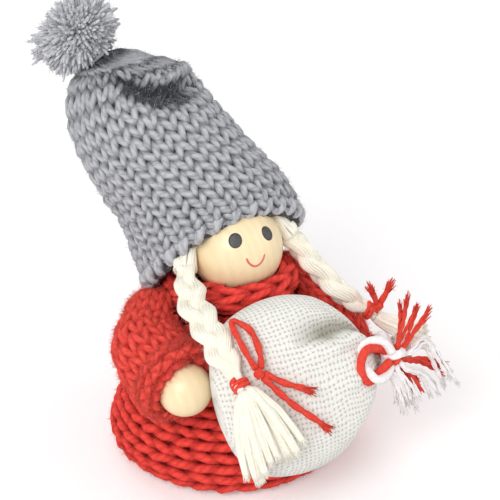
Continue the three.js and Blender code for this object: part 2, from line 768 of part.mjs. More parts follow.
const sackSides = 3 * sack.pleats;
const sackOutside = cut(sackShape(outerRows, sackSides), ...besideSack(clearance));
const sackInside = cut(sackShape(innerRows, sackSides), ...besideSack(clearance + sack.cloth));
add('sack_cloth', cut(sackOutside, sackInside), materials.linen);
add('sack_stuffing', cut(
  sackShape(bellyRows(sack.cloth + clearance), sackSides),
  ...besideSack(2 * clearance + sack.cloth),
), materials.stuffing);

// Cord round the neck of the sack, its knot, its loop and its frayed ends. Each piece is cleared of those
// before it

const neckCentre = sack.centre.clone().addScaledVector(sackAlong, sack.neckAt);
const tieRadius = sack.neckRadius + clearance + cord.radius;
const neckWinding = new Winding({
  centre: neckCentre,
  axis: sackAlong,
  across: sackUp,
  radius: tieRadius,
  turns: cord.turns,
  pitch: cord.pitch,
});
add('sack_tie', windingSolid('sack_tie', neckWinding, cord.radius), materials.cord);

const knotReach = tieRadius + cord.radius + clearance + cord.knotRadius;
const knotCentre = neckCentre.clone()
  .addScaledVector(sackUp, knotReach * Math.cos(cord.knotAround))
  .addScaledVector(sackAlong.clone().cross(sackUp), knotReach * Math.sin(cord.knotAround));
const fromKnot = (offset) => knotCentre.clone().add(offset);
const knotFace = (heading) => fromKnot(heading.clone().setLength(cord.knotRadius));
add('sack_tie_knot', ball(cord.knotRadius, knotCentre, 12, 8), materials.cord);

const ringsPassed = bar(
  tieRadius + cord.radius + clearance,
  neckCentre.clone().addScaledVector(sackAlong, -sack.neckLength / 2),
  neckCentre.clone().addScaledVector(sackAlong, sack.neckLength / 2),
  20,
);
const grown = (half) => half + 2 * clearance;
const sackCleared = sackShape(outerRows.map(([at, ...halves]) => [at, ...halves.map(grown)]), sackSides);
const passed = [ball(cord.knotRadius + clearance, knotCentre, 12, 8), ringsPassed, sackCleared];
const loopPath = [knotFace(cord.loop[0]), ...cord.loop.map(fromKnot), knotFace(cord.loop.at(-1))];
add('sack_tie_loop', cut(strand(loopPath, cord.radius, 3.5), ...passed), materials.cord);
passed.push(strand(loopPath, cord.radius + clearance, 3.5));
for (const [colour, list] of Object.entries(strands)) {
  list.forEach(({ heading, via, end }, i) => {
    const clearOfKnot = fromKnot(heading.clone().setLength(2 * cord.knotRadius));
    const path = [knotFace(heading), clearOfKnot, fromKnot(via), fromKnot(end)];
    add(
      `sack_tie_${colour}_strand_${i + 1}`,
      cut(strand(path, strandRadius, 4), ...passed),
      colour === 'red' ? materials.redYarn : materials.whiteYarn,
    );
    passed.push(strand(path, strandRadius + clearance, 4));
  });
}

// Braids with their ties and tassels

for (const [side, plait] of Object.entries(braids)) {
  const { rootRadius, width, thick, tieRadius: endRadius, tieLength, room } = braidSection;
  const [root, next] = plait.route;
  const first = next.clone().sub(root).normalize();
  const curve = new THREE.CatmullRomCurve3([root.clone().addScaledVector(first, -rootRadius), ...plait.route]);
  const wide = [rootRadius, rootRadius, ...Array(5).fill(width), endRadius, endRadius];
  const deep = [rootRadius, rootRadius, ...Array(5).fill(thick), endRadius, endRadius];
  const braidShape = (grow) => loftAlong(
    curve,
    (place) => [blend(wide, place) + grow, blend(deep, place) + grow],
    { sides: 12, steps: 12, across: first.clone().cross(plait.facing), domes: [rootRadius, 0] },
  );
  const braid = cut(braidShape(0), bodyShape(room), collarShape(room), headCleared, sackCleared);
  add(`${side}_braid`, braid, materials.creamYarn);

  const end = curve.getPoint(1);
  const down = curve.getTangent(1);
  const tieCentre = end.clone().addScaledVector(down, -tieLength / 2);
  const winding = new Winding({
    centre: tieCentre,
    axis: down,
    across: plait.facing,
    radius: endRadius + clearance + yarn.radius,
    turns: yarn.turns,
    pitch: yarn.pitch,
  });
  add(`${side}_braid_tie`, windingSolid(`${side}_braid_tie`, winding, yarn.radius), materials.redYarn);

  const outwards = plait.knotSide.clone().addScaledVector(down, -plait.knotSide.dot(down)).normalize();
  const bowReach = endRadius + 2 * clearance + 2 * yarn.radius + yarn.knotRadius;
  const bowKnot = tieCentre.clone().addScaledVector(outwards, bowReach);
  add(`${side}_bow_knot`, ball(yarn.knotRadius, bowKnot, 10, 6), materials.redYarn);
  const bowPassed = [ball(yarn.knotRadius + clearance, bowKnot, 10, 6), braidShape(clearance), sackCleared];
  const pieces = plait.ends.map((offsets, i) => [`end_${i + 1}`, offsets]);
  if (plait.loop) pieces.push(['loop', plait.loop]);
  for (const [name, offsets] of pieces) {
    const path = offsets.map((offset) => bowKnot.clone().add(offset));
    add(`${side}_bow_${name}`, cut(strand(path, yarn.radius, 4), ...bowPassed), materials.redYarn);
    bowPassed.push(strand(path, yarn.radius + clearance, 4));
  }

  const tasselStart = end.clone().addScaledVector(down, clearance);
  const tasselBend = tasselStart.clone().addScaledVector(down, tieLength / 2);
  const tasselSizes = (place) => {
    const part = blend(tassel.spread, place);
    return [
      THREE.MathUtils.lerp(endRadius, plait.tasselWidth, part),
      THREE.MathUtils.lerp(endRadius, tassel.thick, part),
    ];
  };
  const tasselShape = loftAlong(
    new THREE.CatmullRomCurve3([tasselStart, tasselBend, plait.tasselEnd]),
    tasselSizes,
    { sides: 12, steps: 6, across: plait.tasselAcross },
  );
  add(`${side}_tassel`, cut(tasselShape, ...passed, ...bowPassed), materials.creamYarn);
}

export default doll;
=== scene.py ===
"""Finish and soft detail of a standing winter doll: knitting, yarn, linen, painted wood and the studio."""

from __future__ import annotations

import logging
import random
from collections.abc import Callable, Iterable, Sequence
from dataclasses import dataclass, field
from enum import Enum
from math import asin, cos, degrees, exp, hypot, pi, radians, sin, sqrt

import bmesh
import bpy
import numpy as np
from mathutils import Matrix, Vector, noise
from mathutils.bvhtree import BVHTree

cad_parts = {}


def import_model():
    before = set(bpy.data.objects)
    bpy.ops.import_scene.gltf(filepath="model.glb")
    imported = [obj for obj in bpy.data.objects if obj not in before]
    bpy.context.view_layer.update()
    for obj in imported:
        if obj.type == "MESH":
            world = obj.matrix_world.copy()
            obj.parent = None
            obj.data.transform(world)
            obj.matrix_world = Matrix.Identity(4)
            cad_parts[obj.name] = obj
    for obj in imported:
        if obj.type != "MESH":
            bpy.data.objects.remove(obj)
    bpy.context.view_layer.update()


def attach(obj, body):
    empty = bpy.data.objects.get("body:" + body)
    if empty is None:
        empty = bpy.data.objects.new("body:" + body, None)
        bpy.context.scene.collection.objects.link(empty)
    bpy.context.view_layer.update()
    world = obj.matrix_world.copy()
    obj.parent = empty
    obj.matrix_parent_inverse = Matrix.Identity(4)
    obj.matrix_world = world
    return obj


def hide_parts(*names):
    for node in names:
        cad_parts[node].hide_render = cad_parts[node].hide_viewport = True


LOG = logging.getLogger("doll")
MM = 0.001
TURN = 2 * pi
UP = Vector((0, 0, 1))
NOISE_SEED = 5
SEEDS = {"pompom": 11, "plait": 31, "tassel": 41, "hair": 51, "cord": 61, "brush": 1000}

Material = bpy.types.Material
Piece = bpy.types.Object
Socket = bpy.types.NodeSocket
Colour = tuple[float, float, float]
Triple = tuple[float, float, float]
Surface = Callable[[float, float, float], Vector]
Skin = Callable[[float, float], Vector]
Heart = Callable[[Vector], Vector]
Strand = tuple[list[Vector], list[float], bool]
Level = tuple[Vector, float]


class Body(Enum):
    """Bodies of the doll that a piece can ride on."""

    DOLL = "doll"
    RIGHT_ARM = "right_arm"
    LEFT_ARM = "left_arm"
    RIGHT_BRAID = "right_braid"
    LEFT_BRAID = "left_braid"


class Slot(Enum):
    """Material slots that a piece can take."""

    WOOD = "wood"
    GREY_WOOL = "grey_wool"
    RED_WOOL = "red_wool"
    CREAM_YARN = "cream_yarn"
    RED_YARN = "red_yarn"
    LINEN = "linen"
    STUFFING = "stuffing"
    TWISTED_CORD = "twisted_cord"
    WHITE_YARN = "white_yarn"


# Curves in space


class Route:
    """Smooth line through chosen points, in millimetres."""

    def __init__(self, points: Sequence[Vector]) -> None:
        """Keeps the points and measures the line.

        Args:
            points: what the line passes through, in order.
        """
        self.points = [Vector(point) for point in points]
        self.steps = 40 * (len(self.points) - 1)
        marks = [self.at(i / self.steps) for i in range(self.steps + 1)]
        self.reach = [0.0]
        for before, after in zip(marks, marks[1:]):
            self.reach.append(self.reach[-1] + (after - before).length)

    @property
    def length(self) -> float:
        """Length of the line."""
        return self.reach[-1]

    def at(self, place: float) -> Vector:
        """Point of the line by place, where each chosen point takes an equal share.

        Args:
            place: from 0 at the first point to 1 at the last.

        Returns:
            The point.
        """
        points, last = self.points, len(self.points) - 1
        spot = min(max(place, 0.0), 1.0) * last
        first = min(int(spot), last - 1)
        part = spot - first
        p1, p2 = points[first], points[first + 1]
        p0 = points[first - 1] if first > 0 else 2 * p1 - p2
        p3 = points[first + 2] if first + 2 <= last else 2 * p2 - p1
        gaps = [sqrt((b - a).length) for a, b in ((p0, p1), (p1, p2), (p2, p3))]
        gap = gaps[1] if gaps[1] > 1e-4 else 1.0
        before = gaps[0] if gaps[0] > 1e-4 else gap
        after = gaps[2] if gaps[2] > 1e-4 else gap
        out = ((p1 - p0) / before - (p2 - p0) / (before + gap) + (p2 - p1) / gap) * gap
        into = ((p2 - p1) / gap - (p3 - p1) / (gap + after) + (p3 - p2) / after) * gap
        bend = -3 * p1 + 3 * p2 - 2 * out - into
        turn = 2 * p1 - 2 * p2 + out + into
        return p1 + out * part + bend * part**2 + turn * part**3

    def along(self, share: float) -> Vector:
        """Point at a share of the line's length.

        Args:
            share: from 0 to 1.

        Returns:
            The point.
        """
        goal = min(max(share, 0.0), 1.0) * self.length
        index = int(np.searchsorted(self.reach, goal, side="right")) - 1
        index = min(max(index, 0), self.steps - 1)
        span = self.reach[index + 1] - self.reach[index]
        part = (goal - self.reach[index]) / span if span > 0 else 0.0
        return self.at((index + part) / self.steps)

    def heading(self, share: float) -> Vector:
        """Direction of travel at a share of the line's length."""
        small = 0.5e-3
        return (self.along(min(share + small, 1.0)) - self.along(max(share - small, 0.0))).normalized()

    def spaced(self, step: float) -> list[Vector]:
        """Points about one step apart from end to end."""
        count = max(2, round(self.length / step))
        return [self.along(i / count) for i in range(count + 1)]


def frames_of(points: Sequence[Vector], first: Vector | None = None) -> list[tuple[Vector, Vector]]:
    """Side and rise directions carried along a line without twist.

    Args:
        points: the line.
        first: a direction that the first side is near, or None for any.

    Returns:
        One pair for each point.
    """
    frames: list[tuple[Vector, Vector]] = []
    side = first.copy() if first else Vector((0.31, 0.52, 0.79))
    for i, _ in enumerate(points):
        travel = (points[min(i + 1, len(points) - 1)] - points[max(i - 1, 0)]).normalized()
        side = (side - travel * side.dot(travel)).normalized()
        frames.append((side.copy(), travel.cross(side)))
    return frames


def blend(values: Sequence[float], place: float) -> float:
    """Straight blend through equally spaced values.

    Args:
        values: the values.
        place: from 0 at the first to 1 at the last.

    Returns:
        The value there.
    """
    spot = min(max(place, 0.0), 1.0) * (len(values) - 1)
    low = min(int(spot), len(values) - 2)
    return values[low] + (values[low + 1] - values[low]) * (spot - low)


def nearest(marks: Iterable[Vector], point: Vector) -> Vector:
    """Nearest of some marks to a point."""
    return min(marks, key=lambda mark: (mark - point).length_squared)


def scatter(chance: random.Random, sag: float = 0.0) -> Vector:
    """Vector of chance, pulled down by the sag."""
    return Vector((chance.gauss(0, 1), chance.gauss(0, 1), chance.gauss(0, 1) - sag))


def spoke(side: Vector, over: Vector, angle: float) -> Vector:
    """Direction at an angle from one of two axes towards the other."""
    return side * cos(angle) + over * sin(angle)


def vectors(*points: Triple) -> tuple[Vector, ...]:
    """Vectors of plain triples."""
    return tuple(Vector(point) for point in points)


# Finishes


class Shader:
    """Node material under construction."""

    def __init__(self, name: str, roughness: float, **extra: float | tuple[float, ...]) -> None:
        """Starts a material.

        Args:
            name: name of the material.
            roughness: roughness of its surface.
            extra: further values of the surface's own sockets, with _ for a blank.
        """
        self.material = bpy.data.materials.new(name)
        self.material.use_nodes = True
        self.tree = self.material.node_tree
        self.surface = self.tree.nodes["Principled BSDF"]
        self.surface.inputs["Roughness"].default_value = roughness
        for socket, value in extra.items():
            self.surface.inputs[socket.replace("_", " ")].default_value = value

    def node(self, kind: str, **settings: object) -> bpy.types.Node:
        """Adds a node.

        Args:
            kind: type of the node, without its ShaderNode prefix.
            settings: its properties.

        Returns:
            The node.
        """
        made = self.tree.nodes.new(f"ShaderNode{kind}")
        for key, value in settings.items():
            setattr(made, key, value)
        return made

    def link(self, source: object, target: Socket) -> None:
        """Joins an output, or sets a number, to an input."""
        if isinstance(source, Socket):
            self.tree.links.new(source, target)
        else:
            target.default_value = source

    def math(self, operation: str, first: object, second: object = 0.0, third: object = 0.0) -> Socket:
        """Adds arithmetic.

        Args:
            operation: name of the operation.
            first: an output or a number.
            second: an output or a number.
            third: an output or a number.

        Returns:
            The result.
        """
        made = self.node("Math", operation=operation)
        for source, target in zip((first, second, third), made.inputs):
            self.link(source, target)
        return made.outputs[0]

    def noise(self, scale: float, detail: float = 2.0, at: object = None, **values: float) -> Socket:
        """Adds cloudy noise.

        Args:
            scale: how fine it is.
            detail: its octaves.
            at: where it is read, or None for object coordinates.
            values: further inputs.

        Returns:
            The noise, from 0 to 1.
        """
        made = self.node("TexNoise")
        made.inputs["Scale"].default_value = scale
        made.inputs["Detail"].default_value = detail
        for key, value in values.items():
            made.inputs[key].default_value = value
        self.link(at if at is not None else self.place(), made.inputs["Vector"])
        return made.outputs["Fac"]

    def place(self) -> Socket:
        """Object coordinates, in metres."""
        return self.node("TexCoord").outputs["Object"]

    def ramp(self, factor: object, *stops: tuple[float, Colour]) -> Socket:
        """Adds a colour ramp.

        Args:
            factor: what it reads.
            stops: positions and colours.

        Returns:
            The colour.
        """
        made = self.node("ValToRGB")
        elements = made.color_ramp.elements
        while len(elements) < len(stops):
            elements.new(0.5)
        for element, (position, colour) in zip(elements, stops):
            element.position = position
            element.color = (*colour, 1.0)
        self.link(factor, made.inputs["Fac"])
        return made.outputs["Color"]

    def bump(self, height: Socket, distance: float, strength: float = 1.0) -> None:
        """Raises the surface by a height, at a distance in metres."""
        made = self.node("Bump")
        made.inputs["Distance"].default_value = distance
        made.inputs["Strength"].default_value = strength
        self.link(height, made.inputs["Height"])
        self.link(made.outputs["Normal"], self.surface.inputs["Normal"])

    def colour(self, source: object) -> None:
        """Sets the base colour from an output."""
        self.link(source, self.surface.inputs["Base Color"])


def linear(red: int, green: int, blue: int) -> Colour:
    """Scene colour of a colour given in 0 to 255 steps."""

    def one(step: int) -> float:
        """One channel."""
        share = step / 255
        return share / 12.92 if share <= 0.04045 else ((share + 0.055) / 1.055) ** 2.4

    return one(red), one(green), one(blue)


@dataclass(frozen=True)
class YarnFinish:
    """Spun yarn: plies that twist round it, fine fibres and a soft sheen.

    pitch is the length of a ply's full twist and relief the height of the fibres, in millimetres.
    ply_shade is how much darker the grooves between the plies are painted, a painted shade, and
    gap_shade how light the yarn stays where shade is painted into the gaps of the knitting.
    """

    name: str
    light: Colour
    dark: Colour
    plies: int = 3
    pitch: float = 7.0
    ply_shade: float = 0.14
    gap_shade: float = 0.28
    relief: float = 0.1
    sheen: float = 0.35
    roughness: float = 0.9

    def material(self) -> Material:
        """Makes the material, which reads the yarn attribute of its strands."""
        shader = Shader(self.name, self.roughness, Sheen_Weight=self.sheen, Sheen_Roughness=0.45,
                        Specular_IOR_Level=0.2, Sheen_Tint=(*self.light, 1.0))
        spun = shader.node("Attribute", attribute_name="yarn")
        parts = shader.node("SeparateXYZ")
        shader.link(spun.outputs["Vector"], parts.inputs[0])
        angle = shader.math("ARCTAN2", parts.outputs[2], parts.outputs[1])
        turn = shader.math("MULTIPLY", parts.outputs[0], TURN * self.plies / self.pitch)
        phase = shader.math("MULTIPLY_ADD", angle, float(self.plies), turn)
        ply = shader.math("MULTIPLY_ADD", shader.math("SINE", phase), 0.5, 0.5)
        twist = shader.math("MULTIPLY_ADD", turn, 1.0 / self.plies, angle)
        lie = shader.node("CombineXYZ")
        shader.link(shader.math("MULTIPLY", parts.outputs[0], 0.22), lie.inputs[0])
        shader.link(shader.math("COSINE", twist), lie.inputs[1])
        shader.link(shader.math("SINE", twist), lie.inputs[2])
        fibre = shader.noise(5.0, 4.0, lie.outputs[0])
        patch = shader.noise(260.0, 2.0)
        height = shader.math("MULTIPLY_ADD", fibre, 1.6, shader.math("MULTIPLY", ply, 0.5))
        # Painted shade: the grooves between the plies are darker. The fibre and patch noise are the wool's
        # own tone.
        shade = shader.math("MULTIPLY_ADD", ply, self.ply_shade, shader.math("MULTIPLY_ADD", fibre, 1.1, -0.2))
        shade = shader.math("MULTIPLY_ADD", patch, 0.5, shader.math("ADD", shade, -0.22))
        plain = shader.ramp(shade, (0.0, self.dark), (0.6, self.light))
        # Painted shade: yarn that the open attribute puts deep in the knitting is mixed towards a dark gap
        # colour.
        raised = shader.node("Attribute", attribute_name="open")
        gap = tuple(channel * self.gap_shade for channel in self.dark)
        tops = shader.ramp(raised.outputs["Fac"], (0.58, (0, 0, 0)), (0.95, (1, 1, 1)))
        mix = shader.node("Mix", data_type="RGBA")
        shader.link(tops, mix.inputs[0])
        mix.inputs[6].default_value = (*gap, 1.0)
        shader.link(plain, mix.inputs[7])
        shader.colour(mix.outputs[2])
        shader.bump(height, self.relief * MM)
        return shader.material


@dataclass(frozen=True)
class ShadedBackingFinish:
    """Inside of the knitting, seen between its yarns and painted dark for the shade there."""

    name: str
    colour: Colour
    pale: Colour

    def material(self) -> Material:
        """Makes the material."""
        shader = Shader(self.name, 1.0, Specular_IOR_Level=0.05)
        grain = shader.noise(900.0, 4.0)
        shader.colour(shader.ramp(grain, (0.3, self.colour), (0.75, self.pale)))
        shader.bump(grain, 0.4 * MM)
        return shader.material


@dataclass(frozen=True)
class WoodFinish:
    """Pale turned wood under a thin varnish, with fine rings about an upright axis."""

    name: str
    light: Colour
    dark: Colour
    centre: Vector
    turn: float = 0.3

    def material(self) -> Material:
        """Makes the material."""
        shader = Shader(self.name, 0.38, Specular_IOR_Level=0.45, Coat_Weight=0.25, Coat_Roughness=0.22)
        shift = shader.node("Mapping", vector_type="POINT")
        shift.inputs["Location"].default_value = -self.centre * MM
        shift.inputs["Rotation"].default_value = (self.turn, self.turn / 2, 0)
        shader.link(shader.place(), shift.inputs["Vector"])
        stretch = shader.node("Mapping", vector_type="POINT")
        stretch.inputs["Scale"].default_value = (1.0, 1.0, 0.12)
        shader.link(shift.outputs["Vector"], stretch.inputs["Vector"])
        bend = shader.noise(90.0, 3.0, stretch.outputs["Vector"])
        parts = shader.node("SeparateXYZ")
        shader.link(stretch.outputs["Vector"], parts.inputs[0])
        across = shader.math("MULTIPLY_ADD", parts.outputs[0], 2100.0, shader.math("MULTIPLY", bend, 9.0))
        ring = shader.math("MULTIPLY_ADD", shader.math("SINE", across), 0.5, 0.5)
        pore = shader.noise(2400.0, 3.0, stretch.outputs["Vector"])
        mix = shader.math("MULTIPLY_ADD", ring, 0.22, shader.math("MULTIPLY", pore, 0.75))
        shader.colour(shader.ramp(mix, (0.1, self.light), (1.0, self.dark)))
        shader.bump(pore, 0.02 * MM, 0.5)
        return shader.material


@dataclass(frozen=True)
class PaintFinish:
    """Thin matt paint with a slightly uneven coat."""

    name: str
    colour: Colour
    worn: Colour

    def material(self) -> Material:
        """Makes the material."""
        shader = Shader(self.name, 0.45, Specular_IOR_Level=0.4)
        coat = shader.noise(1500.0, 3.0)
        shader.colour(shader.ramp(coat, (0.35, self.colour), (0.9, self.worn)))
        shader.bump(coat, 0.02 * MM, 0.4)
        return shader.material


@dataclass(frozen=True)
class LinenFinish:
    """Open plain weave: threads that pass over and under each other, with small gaps painted dark as shade.

    It reads the cloth's chart: millimetres along the two threads, and how far the cloth is out of its folds,
    which sets a painted shadow.
    """

    name: str
    thread: Colour
    gap: Colour
    shadow: Colour
    pitch: float
    wander: tuple[float, float] = (2.6, -3.1)

    def material(self) -> Material:
        """Makes the material."""
        shader = Shader(self.name, 0.95, Sheen_Weight=0.15, Specular_IOR_Level=0.15)
        parts = shader.node("SeparateXYZ")
        shader.link(shader.node("Attribute", attribute_name="chart").outputs["Vector"], parts.inputs[0])
        drift = shader.noise(90.0, 3.0)
        u, v = (shader.math("MULTIPLY_ADD", way, 1 / self.pitch, shader.math("MULTIPLY", drift, stray))
                for stray, way in zip(self.wander, parts.outputs))
        warp = self._thread(shader, u)
        weft = self._thread(shader, v)
        over = shader.math("MULTIPLY", self._side(shader, u), self._side(shader, v))
        high = shader.math("MAXIMUM",
                           shader.math("MULTIPLY", warp, shader.math("MULTIPLY_ADD", over, 0.24, 0.76)),
                           shader.math("MULTIPLY", weft, shader.math("MULTIPLY_ADD", over, -0.24, 0.76)))
        fibre = shader.noise(2000.0, 4.0)
        slub = shader.noise(500.0, 3.0)
        height = shader.math("MULTIPLY_ADD", fibre, 0.4, high)
        tone = shader.math("ADD", height, shader.math("MULTIPLY_ADD", slub, 0.9, -0.5))
        # Painted shade: the gaps between the threads and their low edges are darker. The slub noise is the
        # linen's own tone.
        plain = shader.ramp(tone, (0.05, self.gap), (0.75, self.thread))
        # Painted shadow: the colour is darkened where the chart says the cloth lies in the crease.
        mix = shader.node("Mix", data_type="RGBA", blend_type="MULTIPLY")
        mix.inputs[0].default_value = 1.0
        shader.link(plain, mix.inputs[6])
        shader.link(shader.ramp(parts.outputs[2], (0.0, self.shadow), (1.0, (1, 1, 1))), mix.inputs[7])
        shader.colour(mix.outputs[2])
        shader.bump(height, 0.17 * MM)
        return shader.material

    @staticmethod
    def _thread(shader: Shader, run: Socket) -> Socket:
        """Rounded profile of the threads that lie side by side along a direction."""
        part = shader.math("FRACT", run)
        off = shader.math("MULTIPLY_ADD", part, 2.6, -1.3)
        return shader.math("SUBTRACT", 1.0, shader.math("POWER", shader.math("ABSOLUTE", off), 2.6))

    @staticmethod
    def _side(shader: Shader, run: Socket) -> Socket:
        """1 on even threads and -1 on odd ones."""
        return shader.math("COSINE", shader.math("MULTIPLY", shader.math("FLOOR", run), pi))


@dataclass(frozen=True)
class WadFinish:
    """Loose fibre stuffing."""

    name: str = "fibre_wad"

    def material(self) -> Material:
        """Makes the material."""
        shader = Shader(self.name, 1.0, Sheen_Weight=0.4, Specular_IOR_Level=0.1)
        tuft = shader.noise(700.0, 6.0, Distortion=2.0)
        shader.colour(shader.ramp(tuft, (0.3, linear(205, 200, 195)), (0.7, linear(243, 240, 236))))
        shader.bump(tuft, 1.2 * MM)
        return shader.material


@dataclass(frozen=True)
class SteelFinish:
    """Drawn steel wire."""

    name: str = "drawn_steel"

    def material(self) -> Material:
        """Makes the material."""
        shader = Shader(self.name, 0.32, Metallic=1.0)
        drawn = shader.noise(1800.0, 3.0)
        shader.colour(shader.ramp(drawn, (0.2, linear(150, 152, 156)), (0.8, linear(205, 207, 210))))
        shader.bump(drawn, 0.01 * MM, 0.6)
        return shader.material


WOOD_LIGHT, WOOD_DARK = linear(252, 233, 194), linear(242, 216, 168)
GREY_WOOL = YarnFinish("grey_wool", linear(200, 201, 206), linear(124, 126, 132), pitch=8.0, ply_shade=0.34,
                       gap_shade=0.24, relief=0.22)
# Painted light: the fluff is a lighter copy of its wool, for light that shines through the fine hairs.
LIT_GREY_FLUFF = YarnFinish("lit_grey_fluff", linear(214, 215, 220), linear(160, 162, 168), sheen=0.9)
# Painted light: the pom-pom's wool is a lighter copy of the hat's, which lifts the shade among its strands.
LIT_POMPOM_WOOL = YarnFinish("lit_pompom_wool", linear(222, 223, 227), linear(160, 162, 168), pitch=11.0, sheen=0.8)
RED_WOOL = YarnFinish("red_wool", linear(252, 82, 70), linear(212, 38, 40), pitch=8.0, ply_shade=0.3,
                      gap_shade=0.4, relief=0.2, sheen=0.3)
# Painted light: the sleeves' wool is a lighter copy of the dress's, with less painted shade in its gaps.
LIT_SLEEVE_WOOL = YarnFinish("lit_sleeve_wool", linear(255, 96, 82), linear(240, 56, 52), pitch=8.0, ply_shade=0.3,
                         gap_shade=0.6, relief=0.2, sheen=0.5)
# Painted light: the red fluff is a lighter copy of the red wool, for light that shines through the fine
# hairs.
LIT_RED_FLUFF = YarnFinish("lit_red_fluff", linear(255, 116, 102), linear(250, 78, 70), sheen=0.6)
RED_YARN = YarnFinish("red_yarn", linear(238, 82, 66), linear(204, 50, 44), plies=2, pitch=4.0)
CREAM_YARN = YarnFinish("cream_yarn", linear(255, 253, 243), linear(240, 230, 206), plies=2, pitch=5.0,
                        ply_shade=0.06, relief=0.04, sheen=0.2, roughness=0.65)
WHITE_YARN = YarnFinish("white_yarn", linear(254, 252, 251), linear(232, 220, 219), plies=2, pitch=4.0)
# The backings are painted dark: the shade between the yarns.
GREY_SHADE_BACKING = ShadedBackingFinish("grey_shade_backing", linear(66, 68, 73), linear(94, 97, 103))
RED_SHADE_BACKING = ShadedBackingFinish("red_shade_backing", linear(96, 8, 16), linear(138, 18, 26))
# Linen: its thread, the painted shade in its gaps and the painted shadow in its crease.
LINEN = LinenFinish("linen_weave", linear(238, 237, 231), linear(194, 192, 184), linear(168, 164, 152), 1.5)


# Pieces


def settle(piece: Piece, finish: Material, body: Body, slot: Slot, replaces: Sequence[str] = (),
           fill: float | None = None) -> None:
    """Gives a finished mesh its material and body, and hides the nodes that it replaces.

    Args:
        piece: the object, at the origin.
        finish: its material.
        body: what it moves with.
        slot: the record's material slot; not used.
        replaces: nodes that it stands for.
        fill: how tightly it is stuffed, or None if it isn't; not used.
    """
    refinish(piece, finish)
    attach(piece, body.value)
    if replaces:
        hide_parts(*replaces)
    LOG.info("%s: %d faces on %s", piece.name, len(piece.data.polygons), body.value)


def refinish(piece: Piece, finish: Material) -> None:
    """Makes a material the only one of an object."""
    piece.data.materials.clear()
    piece.data.materials.append(finish)


def mesh_piece(name: str, shape: bmesh.types.BMesh) -> Piece:
    """Smooth object of a bmesh, whose vertices are in metres.

    Args:
        name: name of the piece.
        shape: its mesh, which is freed.

    Returns:
        The object, linked to the scene.
    """
    bmesh.ops.recalc_face_normals(shape, faces=shape.faces)
    for face in shape.faces:
        face.smooth = True
    mesh = bpy.data.meshes.new(name)
    shape.to_mesh(mesh)
    shape.free()
    piece = bpy.data.objects.new(name, mesh)
    bpy.context.scene.collection.objects.link(piece)
    return piece


def modified(piece: Piece, *steps: tuple[str, dict[str, object]]) -> Piece:
    """Runs modifiers on a piece and keeps their result as its mesh.

    Args:
        piece: the object.
        steps: type and settings of each modifier.

    Returns:
        The object.
    """
    for kind, settings in steps:
        modifier = piece.modifiers.new(kind.lower(), kind)
        for key, value in settings.items():
            setattr(modifier, key, value)
    bpy.context.view_layer.update()
    done = bpy.data.meshes.new_from_object(piece.evaluated_get(bpy.context.evaluated_depsgraph_get()))
    piece.modifiers.clear()
    piece.data = done
    piece.data.shade_smooth()
    return piece


